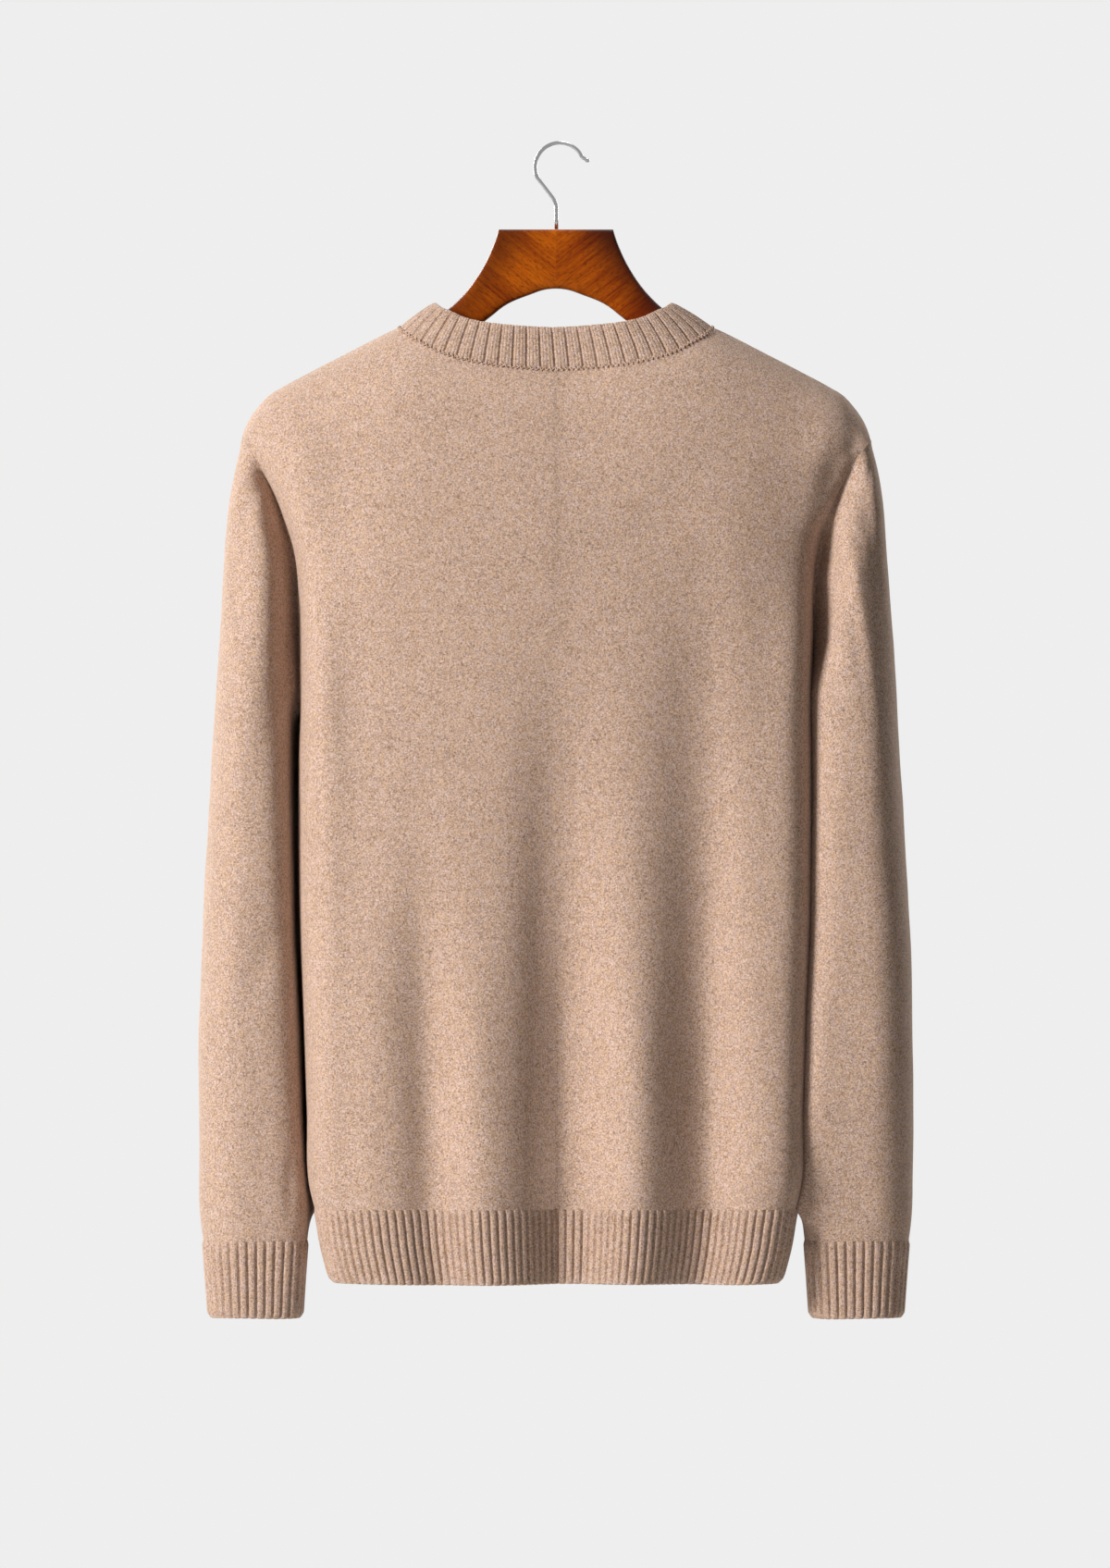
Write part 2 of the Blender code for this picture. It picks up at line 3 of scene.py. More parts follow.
import bpy
import numpy as np
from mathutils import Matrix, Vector, noise


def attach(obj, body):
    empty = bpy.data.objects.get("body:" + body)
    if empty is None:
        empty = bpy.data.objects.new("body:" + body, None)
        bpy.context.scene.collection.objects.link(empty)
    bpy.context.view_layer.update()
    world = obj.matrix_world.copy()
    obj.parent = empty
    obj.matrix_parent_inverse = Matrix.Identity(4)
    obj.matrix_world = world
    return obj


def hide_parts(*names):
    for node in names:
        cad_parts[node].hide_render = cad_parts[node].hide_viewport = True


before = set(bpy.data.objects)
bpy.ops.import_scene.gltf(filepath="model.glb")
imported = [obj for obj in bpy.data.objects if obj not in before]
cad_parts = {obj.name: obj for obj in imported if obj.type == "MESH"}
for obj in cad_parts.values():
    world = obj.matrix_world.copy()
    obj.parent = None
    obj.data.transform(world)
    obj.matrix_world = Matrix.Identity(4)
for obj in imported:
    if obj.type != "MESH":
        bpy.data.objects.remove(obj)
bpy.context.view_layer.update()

# Back and front panels: two flat-knitted pieces of fine wool jersey, brushed and lightly felted,
# shaped at the armholes, shoulders and neck. They are linked to each other down the sides and along
# the shoulders. The back faces -Y, and all sizes are metres.
CLOTH = 0.002
HALF_SEAM = 0.00015
SEAM_FILL, SEAM_ROUND = 0.0007, 0.0028  # how far brushed fibre fills a seam, and how wide
CHEST_SQUARENESS = 3.8
HEM_BOTTOM, HEM_TOP = -0.8195, -0.7655
UNDERARM_Z = -0.4080
RIDGE_DROP = 0.16  # how far below the shoulder line the cloth reaches its full depth
SHOULDER_FULL, SHOULDER_BLEND = 0.5, 0.08  # how much squarer one shoulder is, and over what width
NECK_SIDE_X = 0.1135
BODY_ROWS, ARMHOLE_ROWS = 110, 64
SHOULDER_COLUMNS, NECK_COLUMNS = 30, 100
FINE_POINTS = 400
Cut = namedtuple("Cut", "flat area")
PANEL_CUT = Cut((0.530, 0.680), 0.300)


def table(columns, *rows):
    """A table of sizes whose columns have names. Where it is read as a curve, the first is its key."""
    row = namedtuple("row", columns)
    return [row(*sizes) for sizes in rows]


BODY = table(
    "z full_half depth",
    (HEM_BOTTOM, 0.1620, 0.068),
    (-0.7950, 0.1685, 0.071),
    (HEM_TOP, 0.1738, 0.074),
    (-0.7540, 0.1768, 0.076),
    (-0.6955, 0.1795, 0.077),
    (-0.6288, 0.1820, 0.078),
    (-0.5621, 0.1847, 0.079),
    (-0.4955, 0.1857, 0.080),
    (-0.4288, 0.1852, 0.081),
    (UNDERARM_Z, 0.1845, 0.082),
    (-0.3850, 0.1841, 0.082),
    (-0.3550, 0.1841, 0.082),
    (-0.3250, 0.1848, 0.082),
    (-0.2930, 0.1882, 0.081),
    (-0.2680, 0.1960, 0.080),
    (-0.2440, 0.2066, 0.079),
    (-0.2280, 0.2180, 0.079),
    (-0.2140, 0.2380, 0.078),
    (-0.1900, 0.2620, 0.078),
    (-0.1200, 0.2650, 0.077),
)
ARMHOLE = table(
    "z x",
    (UNDERARM_Z, 0.1845),
    (-0.3850, 0.1837),
    (-0.3550, 0.1837),
    (-0.3250, 0.1843),
    (-0.2930, 0.1873),
    (-0.2680, 0.1945),
    (-0.2440, 0.2045),
    (-0.2280, 0.2145),
    (-0.2140, 0.2262),
)
SHOULDER = table(
    "x z",
    (0.0000, -0.1260),
    (0.0800, -0.1265),
    (0.1000, -0.1285),
    (NECK_SIDE_X, -0.1325),
    (0.1310, -0.1408),
    (0.1465, -0.1488),
    (0.1775, -0.1648),
    (0.1973, -0.1755),
    (0.2077, -0.1821),
    (0.2137, -0.1888),
    (0.2187, -0.1955),
    (0.2224, -0.2021),
    (0.2253, -0.2100),
    (0.2262, -0.2140),
)
NECKLINE = table(
    "x back front",
    (0.0000, -0.1638, -0.2220),
    (0.0200, -0.1630, -0.2205),
    (0.0450, -0.1605, -0.2130),
    (0.0700, -0.1557, -0.1985),
    (0.0867, -0.1500, -0.1820),
    (0.1000, -0.1425, -0.1620),
    (0.1085, -0.1375, -0.1460),
    (NECK_SIDE_X, -0.1325, -0.1325),
)

# The large soft folds that deepen towards the hem. The face is -1 for the back and 1 for the front.
FOLDS = table(
    "face top_x top_z hem_x depth left right",
    (-1, -0.0990, -0.420, -0.0890, 0.0115, 0.018, 0.019),
    (-1, 0.0020, -0.310, 0.0060, 0.0315, 0.026, 0.034),
    (-1, 0.1030, -0.220, 0.1070, 0.0275, 0.031, 0.026),
    (1, -0.1050, -0.400, -0.1120, 0.0120, 0.026, 0.026),
    (1, -0.0300, -0.360, -0.0360, 0.0140, 0.034, 0.028),
    (1, 0.0580, -0.340, 0.0640, 0.0150, 0.028, 0.032),
)
FOLD_FULL_Z = -0.72

# Small soft creases, each from one place to another: a trough where sunk is positive, else a ridge.
CREASES = table(
    "face x0 z0 x1 z1 sunk width",
    (-1, 0.202, -0.216, 0.187, -0.300, 0.0035, 0.0085),
    (-1, 0.2535, -0.178, 0.1878, -0.290, -0.0200, 0.0120),
    (-1, 0.178, -0.230, 0.172, -0.900, -0.0100, 0.021),
    (-1, -0.1875, -0.445, -0.1875, -0.300, 0.0100, 0.0060),
    (-1, -0.170, -0.280, -0.166, -0.900, -0.0070, 0.017),
    (-1, -0.192, -0.150, -0.168, -0.480, -0.0070, 0.019),
    (-1, 0.205, -0.150, 0.182, -0.430, -0.0080, 0.022),
    (-1, -0.137, -0.520, -0.137, -0.860, -0.0030, 0.018),
    (-1, -0.214, -0.220, -0.206, -0.240, 0.0012, 0.0030),
    (-1, -0.205, -0.208, -0.186, -0.252, -0.0008, 0.0060),
    (-1, 0.217, -0.212, 0.208, -0.226, 0.0014, 0.0026),
    (-1, -0.060, -0.560, -0.048, -0.860, -0.0030, 0.016),
    (-1, 0.060, -0.560, 0.056, -0.860, -0.0030, 0.018),
    (-1, -0.140, -0.205, -0.020, -0.270, 0.0010, 0.016),
    (-1, 0.150, -0.200, 0.040, -0.300, 0.0012, 0.018),
    (1, -0.170, -0.330, -0.060, -0.250, 0.0026, 0.012),
    (1, 0.172, -0.320, 0.070, -0.240, 0.0024, 0.013),
    (1, -0.150, -0.420, -0.090, -0.620, 0.0020, 0.016),
    (1, 0.150, -0.430, 0.110, -0.640, 0.0022, 0.016),
    (1, 0.214, -0.220, 0.206, -0.240, 0.0012, 0.0030),
    (1, -0.202, -0.216, -0.187, -0.300, 0.0040, 0.0095),
)
CREASE_ENDS = (0.3, 0.3)  # the shares of a crease's length over which it fades in and out
# How far the knit wanders in and out: the size of its soft bumps, and their height.
SWELLS = ((0.085, 0.0011), (0.026, 0.00028))
BODY_SWELLS_FROM = 7.3


def through(rows, column, at):
    """A smooth curve through one column of a table, read at any values of its key."""
    keys = np.array([row[0] for row in rows])
    values = np.array([getattr(row, column) for row in rows])
    slopes = np.gradient(values, keys)
    at = np.clip(at, keys[0], keys[-1])
    i = np.clip(np.searchsorted(keys, at, side="right") - 1, 0, len(keys) - 2)
    step = keys[i + 1] - keys[i]
    t = (at - keys[i]) / step
    rest = 1 - t
    return (
        values[i] * rest**2 * (1 + 2 * t)
        + values[i + 1] * t**2 * (1 + 2 * rest)
        + step * t * rest * (slopes[i] * rest - slopes[i + 1] * t)
    )


def row_at(rows, at):
    """A whole row of a table, read in the same way."""
    return type(rows[0])(*(through(rows, column, at) for column in rows[0]._fields))


def drawn(rows, column, start, end, count):
    """Points along the curve through one column, from one value of the key to another."""
    keys = np.linspace(start, end, count)
    return points(keys, through(rows, column, keys))


def squared(t, squareness):
    """Half of a rounded square: 1 in the middle of -1..1, falling to 0 at its ends."""
    return (1 - np.minimum(np.abs(t), 1) ** squareness) ** (1 / squareness)


def eased(t):
    """0 up to 0, 1 from 1 on and a smooth rise between them."""
    t = np.clip(t, 0, 1)
    return t * t * (3 - 2 * t)


def points(*axes):
    return np.stack(axes, axis=-1)


def swells(places, start):
    """Soft uneven waves in the cloth at each place. Another start gives other waves."""
    found = np.zeros(places.shape[:-1])
    for size, height in SWELLS:
        spots = places.reshape(-1, 3) / size + start
        found += height * np.array([noise.noise(Vector(spot)) for spot in spots]).reshape(found.shape)
    return found


def crease_depth(x, z, run, drop, crease, ends):
    """How far one crease sinks the cloth at places measured from its start, along its run and drop."""
    length = np.hypot(run, drop)
    along = (x * run + z * drop) / length**2
    off = (x * drop - z * run) / length
    fading = eased(along / ends[0]) * eased((1 - along) / ends[1])
    return crease.sunk * fading * np.exp(-((off / crease.width) ** 2))


def fold_depth(x, z, face):
    """How far the cloth sinks into its folds and creases at a place on one face."""
    sunk = np.zeros(np.shape(x))
    for fold in (fold for fold in FOLDS if fold.face == face):
        down = np.clip((fold.top_z - z) / (fold.top_z - FOLD_FULL_Z), 0, 1)
        off = x - (fold.top_x + (fold.hem_x - fold.top_x) * down)
        width = np.where(off < 0, fold.left, fold.right)
        sunk += fold.depth * eased(down) * np.exp(-((off / width) ** 2))
    for crease in (crease for crease in CREASES if crease.face == face):
        run, drop = crease.x1 - crease.x0, crease.z1 - crease.z0
        sunk += crease_depth(x - crease.x0, z - crease.z0, run, drop, crease, CREASE_ENDS)
    return sunk


def body_depth(x, z, face):
    """How far the cloth of one face stands from the middle plane."""
    body = row_at(BODY, z)
    across = squared(x / body.full_half, CHEST_SQUARENESS)
    below = np.clip((through(SHOULDER, "z", np.abs(x)) - z) / RIDGE_DROP, 0, 1)
    rounder = 2 + SHOULDER_FULL * eased(-face * x / SHOULDER_BLEND)
    shoulder = (1 - (1 - below) ** rounder) ** (1 / rounder)
    places = points(x, x * 0 + face, z)
    sunk = fold_depth(x, z, face) + swells(places, BODY_SWELLS_FROM)
    return across * shoulder * body.depth - sunk * eased(3 * across) * eased(4 * shoulder)


def spread(line, shares, carried=None):
    """Points at these shares of the length along a line of points, or what the points carry there."""
    steps = np.linalg.norm(np.diff(line, axis=0), axis=1)
    along = np.concatenate([[0], np.cumsum(steps)]) / steps.sum()
    values = line if carried is None else carried
    return points(*(np.interp(shares, along, axis) for axis in values.T))


def armhole_line():
    """The armhole seam seen from behind, with its points closer together at both ends."""
    fine = drawn(ARMHOLE, "x", UNDERARM_Z, ARMHOLE[-1].z, FINE_POINTS)[:, ::-1]
    return spread(fine, (1 - np.cos(np.linspace(0, np.pi, ARMHOLE_ROWS + 1))) / 2)


def side_line():
    """One side of a panel, from the hem's rib up to the shoulder tip."""
    seam = drawn(BODY, "full_half", HEM_TOP, UNDERARM_Z, BODY_ROWS + 1)[:, ::-1]
    return np.concatenate([seam, armhole_line()[1:]])


def top_line(face):
    """The top of a panel from the left shoulder tip over the neckline to the right one."""
    slope = drawn(SHOULDER, "z", NECK_SIDE_X, ARMHOLE[-1].x, FINE_POINTS)
    slope = spread(slope, np.linspace(0, 1, SHOULDER_COLUMNS + 1))
    neck = drawn(NECKLINE, "back" if face < 0 else "front", 0, NECK_SIDE_X, FINE_POINTS)
    neck = spread(neck, np.linspace(0, 1, NECK_COLUMNS // 2 + 1))
    half = np.concatenate([neck, slope[1:]])
    return np.concatenate([half[:0:-1] * (-1, 1), half])


def rounded(turned, squareness):
    """The sine or cosine of an angle on a circle, moved out towards a rounded square."""
    return np.sign(turned) * np.abs(turned) ** (2 / squareness)


def panel_plan(face):
    """The panel's grid seen from behind: rows from the hem to the shoulder, columns left to right."""
    top, side = top_line(face), side_line()
    reach = rounded(np.cos(np.linspace(np.pi, 0, len(top))), CHEST_SQUARENESS)
    bottom = points(reach * side[0, 0], np.full(len(top), side[0, 1]))
    up = np.linspace(0, 1, len(side))[:, None, None]
    along = (reach[None, :, None] + 1) / 2
    left, right = side * (-1, 1), side
    plan = (1 - up) * bottom + up * top
    plan += (1 - along) * (left[:, None] - ((1 - up) * bottom[0] + up * top[0]))
    plan += along * (right[:, None] - ((1 - up) * bottom[-1] + up * top[-1]))
    return plan


def unit(directions):
    return directions / np.linalg.norm(directions, axis=-1, keepdims=True)


def normals_of(grid, ring):
    """Outward directions at a grid's points, whose columns run round with the outside on the right."""
    if ring:
        across = np.roll(grid, -1, axis=1) - np.roll(grid, 1, axis=1)
    else:
        across = np.gradient(grid, axis=1)
    return unit(np.cross(across, np.gradient(grid, axis=0)))


def level(directions):
    """The same directions with no lean towards the front or back."""
    return unit(directions * (1, 0, 1))


def panel(face):
    """Outer points of the back (-1) or front (1) panel, and the outward directions there."""
    plan = panel_plan(face)
    x, z = plan[..., 0], plan[..., 1]
    depth = body_depth(x, z, face)
    side = slice(0, BODY_ROWS + 1)
    shoulder = np.r_[0 : SHOULDER_COLUMNS + 1, -SHOULDER_COLUMNS - 1 : 0]
    depth[side, [0, -1]] = 0
    depth[-1, shoulder] = 0
    outer = points(x, face * (depth + HALF_SEAM), z)
    if face > 0:
        outer = outer[:, ::-1]
    out = normals_of(outer, ring=False)
    out[side, [0, -1]] = level(out[side, [0, -1]])
    out[-1, shoulder] = level(out[-1, shoulder])
    return outer, out


def lengths(grid, axis):
    """The length along the grid's lines up to each point."""
    steps = np.linalg.norm(np.diff(grid, axis=axis), axis=-1)
    return np.insert(np.cumsum(steps, axis=axis), 0, 0, axis=axis)


def panel_skin(outer, out):
    """The panel's outside, filled out a little along the armholes and the top."""
    across, up = lengths(outer, 1), lengths(outer, 0)
    beside = np.minimum(across, across[:, -1:] - across)
    beside[:BODY_ROWS] = 1
    filled = SEAM_FILL * np.exp(-((np.minimum(beside, up[-1:] - up) / SEAM_ROUND) ** 2))
    return outer + filled[..., None] * out


def rim(start, end, away):
    """Rows round half a circle from one row of points to another, on the side that away points to."""
    middle, arm = (start + end) / 2, (start - end) / 2
    bulge = unit(away) * np.linalg.norm(arm, axis=-1, keepdims=True)
    return [middle + arm * np.cos(angle) + bulge * np.sin(angle) for angle in np.radians((40, 90, 140))]


def placed(name, data):
    """A new object in the scene."""
    made = bpy.data.objects.new(name, data)
    bpy.context.scene.collection.objects.link(made)
    return made


def modelled(name, corners, faces, material):
    """A smooth new piece of the scene, made of these corners and faces."""
    mesh = bpy.data.meshes.new(name)
    mesh.from_pydata(corners.reshape(-1, 3).tolist(), [], faces)
    mesh.shade_smooth()
    mesh.materials.append(material)
    return placed(name, mesh)


def knit_wall(name, outer, inner, wales, ring, material, rims=()):
    """A closed cloth wall whose rows run up its outside and down its inside. wales gives the cloth's
    own place across each column, in metres, and a rim named in rims is rounded."""
    top = rim(outer[-1], inner[-1], outer[-1] - outer[-2]) if "top" in rims else []
    bottom = rim(inner[0], outer[0], outer[0] - outer[1]) if "bottom" in rims else []
    rows = np.stack([*outer, *top, *inner[::-1], *bottom])
    count, columns = rows.shape[:2]
    high = len(outer)
    up = lengths(outer, 0).mean(axis=1)
    courses = np.concatenate([up, [up[-1]] * len(top), up[::-1], [up[0]] * len(bottom)])
    number = np.arange(count * columns).reshape(count, columns)
    place = np.stack(np.broadcast_arrays(wales[None], courses[:, None]), axis=-1)
    if ring:
        number = np.hstack([number, number[:, :1]])

    def quads(grid):
        after = np.roll(grid, -1, axis=0)
        return np.stack([grid[:, :-1], grid[:, 1:], after[:, 1:], after[:, :-1]], axis=2)

    faces = quads(number).reshape(-1, 4).tolist()
    corners = quads(place).reshape(-1, 2)
    if not ring:
        inside = number[high + len(top) : 2 * high + len(top)][::-1]
        caps = []
        for i in range(high - 1):
            caps.append([number[i, 0], number[i + 1, 0], inside[i + 1, 0], inside[i, 0]])
            caps.append([number[i + 1, -1], number[i, -1], inside[i, -1], inside[i + 1, -1]])
        if bottom:
            ends = [*number[2 * high + len(top) - 1 :], number[0]]
            caps.append([row[0] for row in ends])
            caps.append([row[-1] for row in ends[::-1]])
        faces += [[int(i) for i in cap] for cap in caps]
        flat = place.reshape(-1, 2)
        corners = np.concatenate([corners, *(flat[cap] for cap in caps)])
    made = modelled(name, rows, faces, material)
    mesh = made.data
    mesh.uv_layers.new(name="cloth").data.foreach_set("uv", corners.ravel())
    ends = np.empty(2 * len(mesh.edges), int)
    mesh.edges.foreach_get("vertices", ends)
    row, column = np.divmod(ends.reshape(-1, 2), columns)
    corner_rows = ([] if top else [high - 1, high]) + ([] if bottom else [0, count - 1])
    sharp = (row[:, 0] == row[:, 1]) & np.isin(row[:, 0], corner_rows)
    if not ring:
        sharp |= (column[:, 0] == column[:, 1]) & np.isin(column[:, 0], [0, columns - 1])
    mesh.attributes.new("sharp_edge", "BOOLEAN", "EDGE").data.foreach_set("value", sharp)
    return made


def fitted(piece, node):
    """Puts a piece in its solid's place."""
    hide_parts(node)
    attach(piece, "root")


def sewn(piece, node, slot, cut, hangs_from, **more):
    """Puts a cloth piece in its solid's place; the size it was knitted to (cut) is not used."""
    fitted(piece, node)


class Field:
    """One value over a surface. Arithmetic on it adds Math nodes."""

    def __init__(self, tree, socket=None):
        self.tree, self.socket = tree, socket

    def node(self, kind, settings=None, sockets=None, result=0):
        """Any node: its settings first, then the values or fields that its sockets take."""
        made = self.tree.nodes.new(kind)
        for name, value in (settings or {}).items():
            setattr(made, name, value)
        for place, value in (sockets or {}).items():
            if isinstance(value, Field):
                self.tree.links.new(value.socket, made.inputs[place])
            else:
                made.inputs[place].default_value = value
        return Field(self.tree, made.outputs[result])

    def maths(self, operation, first, *rest):
        return self.node("ShaderNodeMath", {"operation": operation}, dict(enumerate((first, *rest))))

    def __add__(self, other):
        return self.maths("ADD", self, other)

    def __sub__(self, other):
        return self.maths("SUBTRACT", self, other)

    def __rsub__(self, other):
        return self.maths("SUBTRACT", other, self)

    def __mul__(self, other):
        return self.maths("MULTIPLY", self, other)

    def __truediv__(self, other):
        return self.maths("DIVIDE", self, other)

    def __pow__(self, other):
        return self.maths("POWER", self, other)

    __radd__, __rmul__ = __add__, __mul__

    def place(self):
        """Where on its piece each point lies."""
        return self.node("ShaderNodeTexCoord", None, None, "Object")

    def part(self, axis):
        """One of the three directions of a place."""
        return self.node("ShaderNodeSeparateXYZ", None, {0: self}, axis)

    def clipped(self):
        return self.node("ShaderNodeClamp", None, {0: self})

    def between(self, low, high):
        """0 below low, 1 above high and a smooth rise between them."""
        sockets = {"Value": self, "From Min": low, "From Max": high}
        return self.node("ShaderNodeMapRange", {"interpolation_type": "SMOOTHSTEP"}, sockets)

    def stretched(self, factors):
        """The same place with each of its directions scaled."""
        return self.node("ShaderNodeVectorMath", {"operation": "MULTIPLY"}, {0: self, 1: factors})

    def speckle(self, scale, detail=2.0, roughness=0.5, curl=0.0):
        """Noise at this place, about 0.5: scale is the number of its bumps to a metre, and curl turns
        them into short strands."""
        sockets = {"Vector": self, "Scale": scale, "Detail": detail, "Roughness": roughness}
        return self.node("ShaderNodeTexNoise", None, {**sockets, "Distortion": curl})

    def tint(self, low, high):
        """One colour where this is 0 and another where it is 1."""
        return self.node("ShaderNodeMix", {"data_type": "RGBA"}, {0: self, 6: low, 7: high}, 2)

    def relief(self, strength):
        """A bump from this height in metres."""
        sockets = {"Strength": strength, "Distance": 1.0, "Height": self}
        return self.node("ShaderNodeBump", None, sockets)


def finish(name, **constants):
    """A new material, its shader and a field to build from. The constants go on the shader's sockets."""
    made = bpy.data.materials.new(name)
    made.use_nodes = True
    shader = made.node_tree.nodes["Principled BSDF"]
    for socket, value in constants.items():
        shader.inputs[socket.replace("_", " ")].default_value = value
    return made, shader, Field(made.node_tree)


def feed(shader, **fields):
    for socket, field in fields.items():
        field.tree.links.new(field.socket, shader.inputs[socket.replace("_", " ")])


# The yarn mixes pale rosy, pale sandy, camel, brown and a few greyish fibres.
ROSY_FIBRE = (0.730, 0.540, 0.465)
SANDY_FIBRE = (0.710, 0.495, 0.355)
CAMEL_FIBRE = (0.510, 0.338, 0.252)
BROWN_FIBRE = (0.230, 0.144, 0.100)
GREY_FIBRE = (0.540, 0.455, 0.440)
WALE, COURSE, STITCH_HEIGHT = 0.00145, 0.00110, 0.00010


def heather(name, wale, course, stitch_height, shade=1.0):
    """Brushed wool knit in heather yarn. Its stitches stand up by stitch_height; wale and course are
    one stitch's width and height."""
    fuzz = {"Sheen_Weight": 0.25, "Sheen_Roughness": 0.55, "Sheen_Tint": (1.0, 0.86, 0.74, 1)}
    made, shader, field = finish(name, Roughness=0.95, Specular_IOR_Level=0.12, **fuzz)
    rosy, sandy, camel, brown, grey = (
        tuple(shade * channel for channel in fibre) + (1,)
        for fibre in (ROSY_FIBRE, SANDY_FIBRE, CAMEL_FIBRE, BROWN_FIBRE, GREY_FIBRE)
    )
    place = field.place()
    cloth = field.node("ShaderNodeUVMap", {"uv_map": "cloth"})
    across, along = cloth.part(0), cloth.part(1)
    fine = place.speckle(1020, 2.0, 0.70, 0.9)
    coarse = place.stretched((1, 1, 0.6)).speckle(460, 2.0, 0.55, 1.2)
    broad = place.speckle(38, 2.0)
    light = (fine * 6.6 + coarse * 1.1 + broad * 0.3 - 3.42).clipped()
    pale = place.speckle(210, 3.0, 0.6).between(0.40, 0.60).tint(rosy, sandy)
    yarn = light.tint(brown, pale)
    strands = place.stretched((1.3, 1.3, 0.8)).speckle(620, 1.0).between(0.35, 0.62)
    yarn = (strands * 0.4).tint(yarn, camel)
    yarn = (place.speckle(760, 1.0, 0.4).between(0.60, 0.72) * 0.35).tint(yarn, grey)
    # Each stitch is a pair of legs that lean together into a V.
    leg = field.maths("ABSOLUTE", field.maths("FRACT", across / wale) - 0.5)
    step = field.maths("FRACT", along / course + leg * 1.3)
    plump = 1 - (leg * 4 - 1) ** 2
    arch = 1 - (step * 2 - 1) ** 2
    stitch = plump * (0.55 + arch * 0.45)
    nap = place.speckle(900, 3.0, 0.65)
    surface = stitch * stitch_height + nap * 0.00034 + coarse * 0.00022
    feed(shader, Base_Color=yarn, Normal=surface.relief(0.8))
    return made


jersey = heather("brushed jersey", WALE, COURSE, STITCH_HEIGHT)
back, front = panel(-1), panel(1)

# Sleeves: each is one flat-knitted piece of the same jersey, seamed into a tube along its inner side
# and set into the armhole. On a hanger it drops straight down, so the spare cloth at the underarm
# sinks between the sleeve and the body.
SLEEVE_SQUARENESS = 2.4
INNER_SQUARENESS = 3.4  # of the half beside the body, which lies flatter
ARMHOLE_GAP = 0.00006
SLEEVE_STEP = 0.0036
CROTCH_HEIGHT, CROTCH_TURN = 0.02, (0.3, 1, 0.3)
MITRE_LEAST = 0.5
SLEEVE_TOP_Z, CUFF_TOP = ARMHOLE[-1].z, -0.7890
SLEEVE_CUT = Cut((0.360, 0.600), 0.150)

SLEEVE = table(
    "outer_z outer_x inner_x inner_z depth seam_shape",
    (CUFF_TOP, 0.2542, 0.1792, CUFF_TOP, 0.0345, 0.00),
    (-0.7810, 0.2556, 0.1782, -0.7810, 0.0365, 0.00),
    (-0.7680, 0.2570, 0.1775, -0.7680, 0.0390, 0.00),
    (-0.7400, 0.2573, 0.1798, -0.7400, 0.0415, 0.00),
    (-0.6950, 0.2573, 0.1822, -0.6950, 0.0450, 0.00),
    (-0.6300, 0.2565, 0.1848, -0.6300, 0.0490, 0.00),
    (-0.5650, 0.2547, 0.1872, -0.5690, 0.0530, 0.00),
    (-0.5000, 0.2513, 0.1880, -0.5150, 0.0560, 0.00),
    (-0.4500, 0.2485, 0.1883, -0.4830, 0.0575, 0.00),
    (-0.4060, 0.2458, 0.1886, -0.4600, 0.0585, 0.05),
    (-0.3640, 0.2430, 0.1889, -0.4415, 0.0600, 0.15),
    (-0.3240, 0.2402, 0.1892, -0.4285, 0.0640, 0.30),
    (-0.2860, 0.2378, 0.1890, -0.4200, 0.0720, 0.48),
    (-0.2550, 0.2350, 0.1880, -0.4148, 0.0870, 0.68),
    (-0.2310, 0.2305, 0.1862, -0.4112, 0.1150, 0.86),
    (SLEEVE_TOP_Z, ARMHOLE[-1].x, ARMHOLE[0].x, UNDERARM_Z, 0.1300, 1.00),
)

# The hollow beside each armhole, where the sleeve's cloth falls away from its fold to the body: where
# its deepest line runs at each height, its depth on each side and its width.
HOLLOW = table(
    "z x left right width",
    (-0.600, 0.1890, 0.0000, 0.0000, 0.0110),
    (-0.500, 0.1890, 0.0040, 0.0020, 0.0120),
    (-0.440, 0.1890, 0.0090, 0.0065, 0.0123),
    (-0.410, 0.1890, 0.0120, 0.0110, 0.0125),
    (-0.375, 0.1890, 0.0155, 0.0160, 0.0123),
    (-0.340, 0.1890, 0.0190, 0.0185, 0.0120),
    (-0.300, 0.1910, 0.0225, 0.0085, 0.0115),
    (-0.280, 0.1945, 0.0225, 0.0068, 0.0110),
    (-0.258, 0.2000, 0.0195, 0.0058, 0.0095),
    (-0.240, 0.2055, 0.0140, 0.0042, 0.0070),
    (-0.228, 0.2095, 0.0040, 0.0012, 0.0050),
)
# The hollow is whole from this far below the seam. It starts this far off the sleeve's middle plane,
# and rises over this width.
HOLLOW_BELOW_SEAM, HOLLOW_FROM_Y, HOLLOW_RISE_Y = 0.0035, 0.010, 0.020
# How far each sleeve hangs towards the front, or with a minus the back, and how far from the armhole
# and from the cuff it does so in full.
SLEEVE_FORWARD = {"left": 0.000, "right": -0.009}
FORWARD_BELOW_SEAM, FORWARD_ABOVE_CUFF = 0.06, 0.12
# Where the sleeve's inner side rests against the body, and how that fades at its ends and across.
TUCK_Y = {"left": 0.032, "right": -0.032}
TUCK_WIDTH, TUCK_CLEAR = 0.021, 0.0004
TUCK_TOP, TUCK_TOP_FADE = -0.350, 0.050
TUCK_END, TUCK_END_FADE = -0.785, 0.022
TUCK_REACH, TUCK_REACH_FADE = 0.62, 0.40

